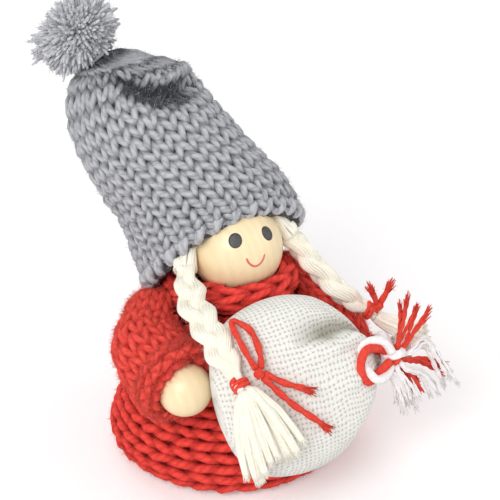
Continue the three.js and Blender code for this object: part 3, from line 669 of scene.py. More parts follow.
class YarnSpool:
    """Strands of yarn that are made into one mesh, in millimetres."""

    batch = 150
    least_step = 1e-3

    def __init__(self, name: str, round_steps: int = 1) -> None:
        """Starts an empty spool.

        Args:
            name: name of its piece.
            round_steps: how round its strands are; a strand has 4 sides and 2 more for each step.
        """
        self.name = name
        self.round_steps = round_steps
        self.strands: list[Strand] = []
        self.levels: dict[int, list[Level]] = {}
        self.span = (0.0, 1.0)

    def lay(self, points: Sequence[Vector], radius: float | Sequence[float], closed: bool = False,
            levels: Sequence[Level] = ()) -> None:
        """Adds a strand.

        Args:
            points: its centre line.
            radius: its radius, or one for each point.
            closed: whether it runs back into its start.
            levels: for each point the way out of the knitting and the height over its middle.
        """
        radii = list(radius) if isinstance(radius, Sequence) else [float(radius)] * len(points)
        kept = [i for i, point in enumerate(points)
                if i == 0 or (point - points[i - 1]).length > self.least_step]
        if len(kept) > 1:
            if levels:
                self.levels[len(self.strands)] = [levels[i] for i in kept]
            self.strands.append(([Vector(points[i]) for i in kept], [radii[i] for i in kept], closed))

    def twine(self, points: Sequence[Vector], plies: int, radius: float, offset: float, pitch: float,
              start: float = 0.0, first: Vector | None = None) -> None:
        """Adds plies that twist round a line.

        Args:
            points: the line.
            plies: number of plies.
            radius: radius of each.
            offset: distance of each from the line.
            pitch: length of a full twist.
            start: angle of the first ply.
            first: a direction that angles are measured from.
        """
        frames = frames_of(points, first)
        reach = [0.0]
        for before, after in zip(points, points[1:]):
            reach.append(reach[-1] + (after - before).length)
        for ply in range(plies):
            line = []
            for point, (side, rise), distance in zip(points, frames, reach):
                angle = start + TURN * (ply / plies + distance / pitch)
                line.append(point + offset * spoke(side, rise, angle))
            self.lay(line, radius)

    def piece(self) -> Piece:
        """Makes the mesh, a batch of strands at a time.

        Its yarn attribute holds the distance along the strand and the angle round it. Its open attribute is
        how far the yarn stands out of the knitting, from 0 in the gaps to 1 on the tops; the material paints
        shade by it.

        Returns:
            The object, without material or body.
        """
        shape = bmesh.new()
        for first in range(0, len(self.strands), self.batch):
            made = self._tubes(self.strands[first:first + self.batch])
            self._describe(made, first)
            part = bmesh.new()
            part.from_mesh(made)
            bmesh.ops.holes_fill(part, edges=[edge for edge in part.edges if edge.is_boundary], sides=0)
            part.to_mesh(made)
            part.free()
            shape.from_mesh(made)
            bpy.data.meshes.remove(made)
        return mesh_piece(self.name, shape)

    def _tubes(self, strands: Sequence[Strand]) -> bpy.types.Mesh:
        """Open tubes along strands, ring by ring."""
        curve = bpy.data.curves.new(self.name, "CURVE")
        curve.dimensions = "3D"
        curve.bevel_depth = MM
        curve.bevel_resolution = self.round_steps
        for points, radii, closed in strands:
            spline = curve.splines.new("POLY")
            spline.points.add(len(points) - 1)
            flat = np.ones((len(points), 4), np.float32)
            flat[:, :3] = np.array(points) * MM
            spline.points.foreach_set("co", flat.ravel())
            spline.points.foreach_set("radius", np.array(radii, np.float32))
            spline.use_cyclic_u = closed
        holder = bpy.data.objects.new(self.name + "_line", curve)
        made = bpy.data.meshes.new_from_object(holder)
        bpy.data.objects.remove(holder)
        bpy.data.curves.remove(curve)
        return made

    def _describe(self, made: bpy.types.Mesh, first: int) -> None:
        """Writes the yarn and open attributes of a batch.

        Args:
            made: its tubes.
            first: index of its first strand.
        """
        sides = 4 + 2 * self.round_steps
        low, high = self.span
        rings = []
        for index, (points, radii, _) in enumerate(self.strands[first:first + self.batch], first):
            line = np.array(points)
            reach = np.concatenate([[0.0], np.cumsum(np.linalg.norm(np.diff(line, axis=0), axis=1))])
            level = self.levels.get(index)
            ways = np.array([way for way, _ in level]) if level else np.zeros_like(line)
            heights = [height for _, height in level] if level else [high + radius for radius in radii]
            rings.append(np.column_stack([line, ways, heights, radii, reach]))
        rings = np.repeat(np.concatenate(rings), sides, axis=0)
        angle = np.tile(np.arange(sides) * TURN / sides, len(rings) // sides)
        places = np.empty(len(made.vertices) * 3)
        made.vertices.foreach_get("co", places)
        rise = np.einsum("ij,ij->i", places.reshape(-1, 3) / MM - rings[:, :3], rings[:, 3:6])
        raised = np.clip((rings[:, 6] + rise - low) / (high - low + rings[:, 7]), 0, 1)
        made.attributes.new("open", "FLOAT", "POINT").data.foreach_set("value", raised.astype(np.float32))
        spun = np.stack([rings[:, 8], np.cos(angle), np.sin(angle)], 1).astype(np.float32)
        made.attributes.new("yarn", "FLOAT_VECTOR", "POINT").data.foreach_set("vector", spun.ravel())


@dataclass(frozen=True)
class Fuzz:
    """Fine hairs that stand off yarn.

    lift is how strongly they point outwards, against chance. flat is the least that they may point outwards,
    and raised what flatter ones are brought to. floor is the least height over the ground, in millimetres.
    """

    count: int
    length: float
    radius: float = 0.05
    lift: float = 0.8
    curl: float = 0.3
    flat: float = 0.1
    raised: float = 0.3
    floor: float = 0.2
    seed: int = 1

    def comb(self, name: str, yarn: YarnSpool, heart: Heart) -> YarnSpool:
        """Grows the hairs on strands.

        Args:
            name: name of the hairs' piece.
            yarn: the strands.
            heart: gives for a point the inside point that its hairs point away from.

        Returns:
            A spool of hairs.
        """
        chance = random.Random(self.seed)
        hairs = YarnSpool(name, 0)
        weights = [len(points) for points, _, _ in yarn.strands]
        for points, radii, _ in chance.choices(yarn.strands, weights, k=self.count):
            index = chance.randrange(len(points) - 1)
            root = points[index].lerp(points[index + 1], chance.random())
            out = (root - heart(root)).normalized()
            way = (out * self.lift + scatter(chance).normalized()).normalized()
            if way.dot(out) < self.flat:
                way = (way + out * (self.raised - way.dot(out))).normalized()
            curl = scatter(chance) * self.curl
            size = self.length * chance.uniform(0.5, 1.3)
            start = root + way * radii[index] * 0.8
            tip = start + (way + curl).normalized() * size
            if min(start.z, tip.z) > self.floor:
                hairs.lay([start, tip], [self.radius, self.radius * 0.4])
        return hairs


@dataclass(frozen=True)
class Stitch:
    """Knitted stitches: their number along and across a row, and the size of their loops.

    swing is how far a leg leans, in stitches. reach is half a loop's height, in rows. depth is how far the
    legs stand before the heads, in millimetres. stray is how fine the yarn's small bends are.
    """

    wales: int
    rows: int
    yarn: float
    swing: float = 0.28
    reach: float = 0.92
    depth: float = 1.0
    samples: int = 12
    purl: bool = False
    stray: float = 0.31

    def knit(self, spool: YarnSpool, surface: Surface, closed: bool = True,
             keep: Callable[[Vector], bool] | None = None, slim: Callable[[float], float] | None = None,
             unrest: float = 0.22, shade: Callable[[float, float], float] | None = None) -> None:
        """Lays every row of loops on a surface.

        Args:
            spool: what takes the strands.
            surface: point for a stitch, a row and a height over the yarn's middle.
            closed: whether a row runs back into its start.
            keep: tells which points are wanted, or None for all.
            slim: share of the yarn's radius for a row, or None.
            unrest: how far the yarn strays, in millimetres.
            shade: depth in millimetres that a stitch and a row lie in shadow, or None.
        """
        face = -1.0 if self.purl else 1.0
        spool.span = (-self.depth, self.depth)
        for row in range(self.rows):
            line: list[Vector] = []
            radii: list[float] = []
            levels: list[Level] = []
            whole = True
            for step in range(self.wales * self.samples + (0 if closed else 1)):
                turn = TURN * (step % self.samples) / self.samples
                wale = step // self.samples + turn / TURN + self.swing * sin(2 * turn)
                height = row + 0.5 + self.reach * cos(turn)
                lift = -face * self.depth * cos(2 * turn)
                point = surface(wale, height, lift)
                way = (surface(wale, height, lift + 1) - point).normalized()
                point += noise.noise_vector(point * self.stray) * unrest
                if keep and not keep(point):
                    whole = False
                    spool.lay(line, radii, False, levels)
                    line, radii, levels = [], [], []
                    continue
                line.append(point)
                radii.append(self.yarn * (slim(height) if slim else 1.0))
                levels.append((way, lift - (shade(wale, height) if shade else 0.0)))
            spool.lay(line, radii, closed and whole, levels)


def shell(name: str, surface: Skin, around: int, along: int, chart: Skin | None = None) -> Piece:
    """Closed smooth skin of a surface that goes once round.

    Args:
        name: name of the piece.
        surface: point for a share round and a share along, in millimetres.
        around: facets round it.
        along: facets along it.
        chart: value of the chart attribute for the same shares, or None.

    Returns:
        The object.
    """
    shape = bmesh.new()
    bmesh.ops.create_grid(shape, x_segments=around, y_segments=along, size=0.5)
    layer = shape.verts.layers.float_vector.new("chart") if chart else None
    for vertex in shape.verts:
        share, part = vertex.co.x + 0.5, vertex.co.y + 0.5
        vertex.co = surface(share, part) * MM
        if layer:
            vertex[layer] = chart(share, part)
    bmesh.ops.remove_doubles(shape, verts=shape.verts, dist=1e-6)
    bmesh.ops.holes_fill(shape, edges=[edge for edge in shape.edges if edge.is_boundary], sides=0)
    return mesh_piece(name, shape)


@dataclass(frozen=True)
class Wool:
    """Materials of knitting: its yarn, the backing painted dark for the shade between the yarns, and its
    hairs, painted lighter than the yarn.
    """

    yarn: Material
    backing: Material
    fluff: Material


@dataclass(frozen=True)
class Knitwear:
    """Three pieces of one knitted part: its yarn, the backing behind it and the hairs on it."""

    node: str
    wool: Wool
    slot: Slot
    fill: float
    fuzz: Fuzz
    body: Body = Body.DOLL

    def spool(self) -> YarnSpool:
        """Empty spool for the part's yarn."""
        return YarnSpool(f"{self.node}_knit", 2)

    def finish(self, knit: YarnSpool, inside: Skin, around: int, along: int, heart: Heart) -> None:
        """Makes the three pieces.

        Args:
            knit: the yarn.
            inside: point of the backing for a share round and a share along.
            around: facets round the backing.
            along: facets along it.
            heart: gives for a point the inside point that its hairs point away from.
        """
        settle(knit.piece(), self.wool.yarn, self.body, self.slot, [self.node], fill=self.fill)
        # The backing's material paints the shade between the yarns.
        backing = shell(f"{self.node}_backing", inside, around, along)
        settle(backing, self.wool.backing, self.body, self.slot)
        hairs = self.fuzz.comb(f"{self.node}_fuzz", knit, heart)
        settle(hairs.piece(), self.wool.fluff, self.body, self.slot)


# Head


@dataclass
class Bead:
    """Turned wooden bead with a bore, which goes through or ends at the centre."""

    name: str
    centre: Vector
    radius: float
    axis: Vector
    bore: float
    blind: bool
    body: Body
    rings: int = 40
    facets: int = 72

    def build(self) -> None:
        """Spins the bead's profile about its axis."""
        shape = bmesh.new()
        mouth = asin(self.bore / self.radius)
        last = pi if self.blind else pi - mouth
        across = self.axis.orthogonal().normalized()
        profile = []
        for i in range(self.rings + 1):
            turn = mouth + (last - mouth) * i / self.rings
            point = (self.centre - self.axis * self.radius * cos(turn)
                     + across * self.radius * sin(turn))
            profile.append(shape.verts.new(point * MM))
        if self.blind:
            for point in (self.centre + across * self.bore, self.centre):
                profile.insert(0, shape.verts.new(point * MM))
        edges = [shape.edges.new(pair) for pair in zip(profile, profile[1:])]
        if not self.blind:
            edges.append(shape.edges.new((profile[-1], profile[0])))
        bmesh.ops.spin(shape, geom=profile + edges, cent=self.centre * MM, axis=self.axis, angle=TURN,
                       steps=self.facets, use_merge=True)
        bmesh.ops.remove_doubles(shape, verts=shape.verts, dist=2e-6)
        wood = WoodFinish(f"{self.name}_wood", WOOD_LIGHT, WOOD_DARK, self.centre)
        settle(mesh_piece(self.name, shape), wood.material(), self.body, Slot.WOOD, [f"{self.name}_bead"])


@dataclass
class Head:
    """Bead head with its painted face."""

    centre: Vector = field(default_factory=lambda: Vector((1.5, -2.5, 71.0)))
    radius: float = 15.0
    bore: float = 2.5
    facing: Vector = field(default_factory=lambda: Vector((-0.08, -0.907, 0.414)).normalized())
    eye_width: float = 4.3
    eye_height: float = 4.9
    eyes: tuple[tuple[float, float], ...] = ((-17.6, 14.5), (26.3, 15.3))
    smile: tuple[tuple[float, float], ...] = (
        (-8.1, -8.3), (-6.4, -13.6), (-2.4, -18.6), (2.4, -20.8), (7.4, -19.6), (12.6, -15.0), (16.3, -8.0))
    smile_radius: float = 0.4
    smile_sunk: float = 0.16
    paint_proud: float = 0.05
    paint_thick: float = 0.15

    def spot(self, side: float, rise: float, proud: float = 0.0) -> Vector:
        """Point on the face.

        Args:
            side: degrees to the doll's left of the middle of the face.
            rise: degrees above it.
            proud: height over the wood.

        Returns:
            The point.
        """
        right = UP.cross(self.facing).normalized()
        up = self.facing.cross(right)
        a, b = sin(radians(side)), sin(radians(rise))
        ahead = sqrt(max(0.0, 1 - a * a - b * b))
        return self.centre + (self.facing * ahead + right * a + up * b) * (self.radius + proud)

    def build(self) -> None:
        """Makes the bead, the eyes and the smile."""
        Bead("head", self.centre, self.radius, UP, self.bore, False, Body.DOLL).build()
        dark = PaintFinish("eye_paint", linear(62, 60, 60), linear(96, 94, 94)).material()
        for i, (side, rise) in enumerate(self.eyes):
            settle(self._eye(f"eye_{i + 1}", side, rise), dark, Body.DOLL, Slot.WOOD)
        line = YarnSpool("smile", 2)
        mouth = Route([self.spot(side, rise, -self.smile_sunk) for side, rise in self.smile]).spaced(0.3)
        ends = [min(i, len(mouth) - 1 - i) for i in range(len(mouth))]
        line.lay(mouth, [self.smile_radius * min(1.0, 0.55 + 0.25 * steps) for steps in ends])
        pink = PaintFinish("smile_paint", linear(222, 104, 96), linear(234, 130, 120)).material()
        settle(line.piece(), pink, Body.DOLL, Slot.WOOD)

    def _eye(self, name: str, side: float, rise: float) -> Piece:
        """Oval of paint that follows the wood."""
        middle = self.spot(side, rise)
        out = (middle - self.centre).normalized()
        across = UP.cross(out).normalized()
        up = out.cross(across)
        shape = bmesh.new()
        bmesh.ops.create_circle(shape, cap_ends=True, cap_tris=True, segments=40, radius=0.5)
        bmesh.ops.subdivide_edges(shape, edges=shape.edges, cuts=3, use_grid_fill=True)
        reach = self.radius + self.paint_proud
        for vertex in shape.verts:
            flat = middle + across * vertex.co.x * self.eye_width + up * vertex.co.y * self.eye_height
            vertex.co = (self.centre + (flat - self.centre).normalized() * reach) * MM
        piece = mesh_piece(name, shape)
        inwards = piece.data.polygons[0].normal.dot(out) < 0
        offset = 1.0 if inwards else -1.0
        return modified(piece, ("SOLIDIFY", {"thickness": self.paint_thick * MM, "offset": offset}))


# Hat


@dataclass
class HatForm:
    """Shape of the hat: stations from the brim to the gathered tip.

    A station is its centre from the head's centre, its lean backwards and to the doll's right in degrees, and
    its half-width and half-depth.
    """

    head: Head
    brim_rise: float = 4.6
    nape_rise: float = 3.5
    brim_fade: float = 0.22
    fold_depth: float = 6.0
    fold_lip: float = 1.8
    fold_width: float = 0.04
    fold_line: tuple[float, float] = (0.88, 0.44)
    fold_sag: float = 3.3
    fold_span: tuple[float, float] = (-135.0, -25.0)
    stations: tuple[tuple[tuple[float, float, float], float, float, float, float], ...] = (
        ((0.3, 8.5, -6.7), 45, 9, 28.8, 26.5),
        ((-2.2, 14.6, 4.1), 40, 15, 28.1, 26.8),
        ((-7.3, 22, 15.1), 37, 22, 24.8, 25.4),
        ((-14.8, 30.2, 28.2), 34, 28, 23.6, 24),
        ((-18.9, 38, 39.6), 31, 20, 22, 21.5),
        ((-18.8, 42.5, 45.8), 25, 4, 19.4, 17.5),
        ((-21.4, 45, 49.9), 20, 4, 12, 11),
        ((-25.4, 46.6, 52), 20, 26, 4.6, 4.6),
        ((-27.9, 48.3, 56.7), 20, 26, 4.6, 4.6),
    )

    def __post_init__(self) -> None:
        """Draws the lines that the stations lie on."""
        self.centres = Route([Vector(at) + self.head.centre for at, *_ in self.stations])
        self.leans = Route([Vector((radians(back), radians(side), 0))
                            for _, back, side, *_ in self.stations])
        self.sizes = Route([Vector((width, depth, 0)) for *_, width, depth in self.stations])

    def fold(self, place: float, angle: float) -> float:
        """Depth of the fold below the tip, where a lip of slack knit hangs over it."""
        start, end = (radians(limit) for limit in self.fold_span)
        spread = (angle - start) / (end - start)
        if not 0 <= spread <= 1:
            return 0.0
        line = self.fold_line[1] + (self.fold_line[0] - self.fold_line[1]) * (1 - spread) ** self.fold_sag
        off = (place - line) / self.fold_width
        depth = self.fold_depth * exp(-(off**2)) - self.fold_lip * exp(-((off - 2) ** 2))
        return depth * sqrt(max(0.0, sin(pi * spread)))

    def point(self, place: float, share: float, grow: float) -> Vector:
        """Point of the hat.

        Args:
            place: from 0 at the brim to 1 at the tip.
            share: part of a full turn, from the doll's right over the front.
            grow: height over the surface.

        Returns:
            The point.
        """
        angle = TURN * (share % 1.0) - pi
        centre, lean, size = self.centres.at(place), self.leans.at(place), self.sizes.at(place)
        turn = Matrix.Rotation(-lean.y, 3, "Y") @ Matrix.Rotation(-lean.x, 3, "X")
        fade = max(0.0, 1 - max(place, 0.0) / self.brim_fade) ** 2
        rise = self.brim_rise if sin(angle) < 0 else self.nape_rise
        reach = grow - self.fold(place, angle)
        past = min(place, 0.0) * self.centres.length
        local = Vector((
            (size.x + reach) * cos(angle),
            (size.y + reach) * sin(angle),
            fade * rise * sin(angle) ** 2 + past,
        ))
        return turn @ local + centre

    def place_at(self, distance: float) -> float:
        """Place at a distance from the brim along the hat's middle line."""
        goal = min(max(distance, 0.0), self.centres.length)
        return float(np.interp(goal, self.centres.reach, np.linspace(0, 1, self.centres.steps + 1)))


@dataclass
class Hat:
    """Knitted hat with its brim, gathered tip and pom-pom.

    Distances along the hat start at the brim. slack is how far the knit bags out below the tip. From the row
    tight_from on, the yarn gets slimmer.
    """

    form: HatForm
    stitch: Stitch = Stitch(wales=28, rows=16, yarn=1.4, depth=1.3, samples=14)
    first_row: float = 1.2
    row: float = 4.6
    sink: float = 2.2
    slack: float = 2.4
    slack_at: float = 0.84
    slack_width: float = 0.08
    tight_from: float = 13.0
    tight_step: float = 0.2
    tight_least: float = 0.6
    shade_reach: float = 0.02
    shade_gain: float = 0.05
    shade_most: float = 1.25
    backing: float = 3.5
    backing_span: tuple[float, float] = (0.015, 0.95)
    heart_span: float = 0.86
    brim_yarn: float = 1.65
    brim_at: float = 2.1
    brim_half: float = 1.9
    brim_out: float = 0.3
    brim_rise: float = 1.3
    tip_radius: float = 4.6
    thread_gap: float = 0.3
    thread_radius: float = 0.7
    thread_turns: float = 2.0
    thread_pitch: float = 1.9
    thread_from_tip: float = 2.9
    pompom_radius: float = 12.0
    pompom_squash: float = 0.8
    pompom_seat: float = 3.8

    def build(self) -> None:
        """Makes the knitting, its backing and fuzz, the thread and the pom-pom."""
        wool = Wool(GREY_WOOL.material(), GREY_SHADE_BACKING.material(), LIT_GREY_FLUFF.material())
        part = Knitwear("hat", wool, Slot.GREY_WOOL, 0.7, Fuzz(15000, 1.9, seed=3))
        knit = part.spool()
        self.stitch.knit(knit, self._surface, slim=self._slim, unrest=0.8, shade=self._shade)
        self._edge(knit)
        part.finish(knit, self._inside, 72, 60, self._heart)
        self._tip(wool.yarn)

    def _heart(self, point: Vector) -> Vector:
        """Middle of the hat beside a point."""
        lines = self.form.centres
        start, end = lines.points[0], lines.points[-3]
        share = (point - start).dot(end - start) / (end - start).length_squared
        return lines.along(min(max(share, 0.0), 1.0) * self.heart_span)

    def _surface(self, wale: float, row: float, depth: float) -> Vector:
        """Point of the knitting for a stitch and a row."""
        place = self.form.place_at(self.first_row + row * self.row)
        slack = self.slack * exp(-(((place - self.slack_at) / self.slack_width) ** 2))
        return self.form.point(place, wale / self.stitch.wales, depth - self.sink + slack)

    def _inside(self, share: float, along: float) -> Vector:
        """Point of the backing."""
        start, span = self.backing_span
        return self.form.point(start + along * span, share, -self.backing)

    def _shade(self, wale: float, row: float) -> float:
        """Shadow in the fold."""
        angle = TURN * (wale / self.stitch.wales % 1.0) - pi
        place = self.form.place_at(self.first_row + row * self.row)
        spots = (place - self.shade_reach, place, place + self.shade_reach)
        deepest = max(0.0, *(self.form.fold(spot, angle) for spot in spots))
        return min(self.shade_most, self.shade_gain * deepest**2)

    def _slim(self, row: float) -> float:
        """Yarn drawn tight where the tip is gathered."""
        return min(1.0, max(self.tight_least, 1.0 - (row - self.tight_from) * self.tight_step))

    def _edge(self, knit: YarnSpool) -> None:
        """Cast-on edge: a yarn that turns once round the brim for each stitch."""
        line = []
        steps = 12
        count = self.stitch.wales * steps
        for i in range(count):
            turn = TURN * i / steps
            place = self.form.place_at(self.brim_at + self.brim_half * sin(turn))
            grow = -self.sink + self.brim_out + self.brim_rise * cos(turn)
            line.append(self.form.point(place, i / count, grow))
        knit.lay(line, self.brim_yarn, closed=True)

    def _tip(self, grey: Material) -> None:
        """Gathering thread and pom-pom."""
        tip = self.form.centres.at(1.0)
        axis = (tip - self.form.centres.at(0.999)).normalized()
        thread = YarnSpool("hat_thread", 2)
        reach = self.tip_radius + self.thread_gap + self.thread_radius
        middle = tip - axis * self.thread_from_tip
        turns = wound(middle, axis, Vector((1, 0, 0)), reach, self.thread_turns, self.thread_pitch)
        thread.lay(turns, self.thread_radius)
        settle(thread.piece(), grey, Body.DOLL, Slot.GREY_WOOL, ["hat_gather_thread"])
        centre = tip + axis * (self.pompom_radius * self.pompom_squash - self.pompom_seat)
        Pompom(centre, axis, self.pompom_radius, self.pompom_squash).build(LIT_POMPOM_WOOL.material())


def wound(centre: Vector, axis: Vector, across: Vector, radius: float, turns: float,
          pitch: float) -> list[Vector]:
    """Line that winds round an axis.

    Args:
        centre: middle of the winding.
        axis: its direction.
        across: direction that it starts in.
        radius: radius of the line.
        turns: number of turns.
        pitch: distance between turns.

    Returns:
        The points of the line.
    """
    side = (across - axis * across.dot(axis)).normalized()
    over = axis.cross(side)
    steps = round(36 * turns)
    line = []
    for i in range(steps + 1):
        angle = TURN * turns * i / steps
        line.append(centre + radius * spoke(side, over, angle) + axis * pitch * turns * (i / steps - 0.5))
    return line


@dataclass
class Pompom:
    """Ball of cut yarn ends, in locks that curl a little and droop to one side."""

    centre: Vector
    axis: Vector
    radius: float
    squash: float
    locks: int = 380
    ends: int = 6
    cover: float = 1.9
    lumps: float = 2.6
    lump_size: float = 0.16
    droop: float = 0.4
    curl: float = 0.8
    stray: float = 1.1
    yarn: float = 0.46
    course: tuple[tuple[float, float], ...] = ((0.45, 0.8), (0.65, 1.0), (0.8, 1.05), (0.92, 1.1), (1.0, 0.7))
    hang: Vector = field(default_factory=lambda: Vector((-0.62, -0.1, -0.78)).normalized())

    def build(self, grey: Material) -> None:
        """Makes the yarn ends and their fuzz.

        Args:
            grey: the wool's material, a lighter copy that paints light into the shade among the strands.
        """
        chance = random.Random(SEEDS["pompom"])
        tufts = YarnSpool("pompom_yarn", 1)
        golden = pi * (3 - sqrt(5))
        side = self.axis.orthogonal().normalized()
        over = self.axis.cross(side)
        for i in range(self.locks):
            up = 1 - self.cover * (i + 0.5) / self.locks
            flat = sqrt(max(0.0, 1 - up * up))
            angle = golden * i
            way = self.axis * up * self.squash + spoke(side, over, angle) * flat
            lump = noise.noise(way * self.lumps) * self.lump_size + chance.uniform(-0.05, 0.05)
            size = self.radius * (0.9 + lump) * (1 + self.droop * max(0.0, way.dot(self.hang)) ** 2)
            curl = scatter(chance, self.droop) * self.curl
            for _ in range(self.ends):
                bend = scatter(chance) * self.stray + curl
                reach = size * chance.uniform(0.9, 1.06)
                line = [self.centre + way * reach * part + bend * part**2 for part, _ in self.course]
                tufts.lay(line, [self.yarn * girth for _, girth in self.course])
        settle(tufts.piece(), grey, Body.DOLL, Slot.GREY_WOOL, ["pompom"], fill=0.5)
        fuzz = Fuzz(15500, 2.2, lift=0.7, seed=5).comb("pompom_fuzz", tufts, lambda _: self.centre)
        settle(fuzz.piece(), grey, Body.DOLL, Slot.GREY_WOOL)


# Dress


@dataclass
class DressForm:
    """Outline of the dress from the hem to the neck, turned round the upright axis."""

    outline: tuple[tuple[float, float], ...] = ((37.6, 0.3), (40.0, 7.0), (31.0, 27.0), (19.5, 56.0))

    def __post_init__(self) -> None:
        """Measures the outline."""
        count = 60
        marks = [self._spline(i / count) for i in range(count + 1)]
        self.radii = [mark[0] for mark in marks]
        self.heights = [mark[1] for mark in marks]
        steps = np.hypot(np.diff(self.radii), np.diff(self.heights))
        self.reach = np.concatenate([[0.0], np.cumsum(steps)])

    def _spline(self, place: float) -> tuple[float, float]:
        """Point of the smooth outline."""
        last = len(self.outline) - 1
        spot = place * last
        first = min(int(spot), last - 1)
        part = spot - first
        four = [self.outline[min(max(first + i, 0), last)] for i in (-1, 0, 1, 2)]
        out = []
        for a, b, c, d in zip(*four):
            v0, v1 = (c - a) * 0.5, (d - b) * 0.5
            cube, square = 2 * b - 2 * c + v0 + v1, -3 * b + 3 * c - 2 * v0 - v1
            out.append(cube * part**3 + square * part**2 + v0 * part + b)
        return out[0], out[1]

    def _mark(self, distance: float) -> tuple[float, float]:
        """Radius and height at a distance along the outline."""
        return (float(np.interp(distance, self.reach, self.radii)),
                float(np.interp(distance, self.reach, self.heights)))

    def radius(self, height: float) -> float:
        """Radius of the outline at a height."""
        return float(np.interp(height, self.heights, self.radii))

    def point(self, along: float, share: float, grow: float) -> Vector:
        """Point of the dress.

        Args:
            along: share of the way from the hem to the neck.
            share: part of a full turn.
            grow: height over the surface.

        Returns:
            The point.
        """
        goal = along * self.reach[-1]
        near = 0.4
        radius, height = self._mark(goal)
        before, after = self._mark(goal - near), self._mark(goal + near)
        lean_r, lean_h = after[0] - before[0], after[1] - before[1]
        size = hypot(lean_r, lean_h)
        out_r, out_h = lean_h / size, -lean_r / size
        angle = TURN * share
        reach = radius + grow * out_r
        return Vector((reach * cos(angle), reach * sin(angle), height + grow * out_h))


@dataclass
class Dress:
    """Knitted dress and its rolled collar. Its rows run up and down, so its stitches lie on their sides."""

    form: DressForm
    head: Head
    shoulders: tuple[Vector, ...]
    shoulder_room: float = 11.2
    shoulder_gap: float = 0.6
    stitch: Stitch = Stitch(wales=8, rows=32, yarn=1.72, swing=0.18, depth=1.2, samples=14)
    span: tuple[float, float] = (0.03, 0.95)
    sink: float = 2.2
    backing: float = 2.6
    edges: tuple[tuple[float, float], ...] = ((0.028, -1.5), (0.97, -2.0))
    edge_yarn: float = 1.4
    edge_steps: int = 240
    edge_twist: float = 0.9
    edge_half: float = 0.006
    edge_rise: float = 0.4
    collar_radius: float = 17.5
    collar_half: tuple[float, float] = (5.0, 5.2)
    collar_at: Vector = field(default_factory=lambda: Vector((0.75, 0.0, 58.6)))
    collar_tip: float = 9.0
    collar_stitch: Stitch = Stitch(wales=5, rows=14, yarn=1.5, samples=14)
    collar_bite: float = 1.5
    head_gap: float = 0.9

    def build(self, wool: Wool) -> None:
        """Makes the dress and the collar.

        Args:
            wool: materials of both.
        """
        part = Knitwear("dress", wool, Slot.RED_WOOL, 0.8, Fuzz(15500, 1.8, seed=7))
        knit = part.spool()
        self.stitch.knit(knit, self._surface, closed=False, keep=self._clear, unrest=0.65)
        for along, grow in self.edges:
            knit.lay(self._edge(along, grow), self.edge_yarn, closed=True)
        part.finish(knit, self._inside, 96, 40, lambda point: Vector((0, 0, point.z)))
        part = Knitwear("collar", wool, Slot.RED_WOOL, 0.7, Fuzz(5500, 1.7, seed=9))
        knit = part.spool()
        self.collar_stitch.knit(knit, self._collar, keep=self._collar_clear, unrest=0.4)
        part.finish(knit, lambda u, v: self._ring(TURN * u, v, -self.backing), 20, 72, self._ring_heart)

    def _edge(self, along: float, grow: float) -> list[Vector]:
        """Yarn that winds round the hem or the neck."""
        line = []
        for i in range(self.edge_steps):
            turn = i * self.edge_twist
            place = along + self.edge_half * sin(turn)
            line.append(self.form.point(place, i / self.edge_steps, grow + self.edge_rise * cos(turn)))
        return line

    def _inside(self, share: float, along: float) -> Vector:
        """Backing of the knitting, pressed in where the shoulders turn."""
        start, span = self.span
        point = self.form.point(start + span * along, share, -self.backing)
        for shoulder in self.shoulders:
            if (point - shoulder).length < self.shoulder_room:
                axis = Vector((0, 0, point.z))
                low, high = 0.0, 1.0
                for _ in range(12):
                    middle = (low + high) / 2
                    inside = (point.lerp(axis, middle) - shoulder).length < self.shoulder_room
                    low, high = (middle, high) if inside else (low, middle)
                point = point.lerp(axis, high)
        return point

    def _surface(self, wale: float, row: float, depth: float) -> Vector:
        """Point of the knitting for a stitch up the dress and a row round it."""
        start, span = self.span
        along = start + span * wale / self.stitch.wales
        return self.form.point(along, row / self.stitch.rows, depth - self.sink)

    def _clear(self, point: Vector) -> bool:
        """Whether a point lies outside both shoulders."""
        least = self.shoulder_room + self.shoulder_gap
        return all((point - shoulder).length > least for shoulder in self.shoulders)

    def _ring(self, turn: float, share: float, grow: float) -> Vector:
        """Point of the collar for an angle round its roll and a share round the neck."""
        wide, high = self.collar_half
        reach = self.collar_radius + (wide + grow) * cos(turn)
        angle = TURN * share
        local = Vector((reach * cos(angle), reach * sin(angle), (high + grow) * sin(turn)))
        return Matrix.Rotation(-radians(self.collar_tip), 3, "X") @ local + self.collar_at

    def _collar(self, wale: float, row: float, depth: float) -> Vector:
        """Point of the collar's knitting."""
        stitch = self.collar_stitch
        return self._ring(TURN * wale / stitch.wales, row / stitch.rows, depth - self.sink)

    def _ring_heart(self, point: Vector) -> Vector:
        """Middle of the collar's roll beside a point."""
        return Vector((point.x, point.y, 0)).normalized() * self.collar_radius + self.collar_at

    def _collar_clear(self, point: Vector) -> bool:
        """Whether a point of the collar is clear of the dress, the head and the shoulders."""
        below = point.z < self.form.outline[-1][1]
        in_dress = below and hypot(point.x, point.y) < self.form.radius(point.z) - self.collar_bite
        in_head = (point - self.head.centre).length < self.head.radius + self.head_gap
        return self._clear(point) and not in_dress and not in_head


# Arms


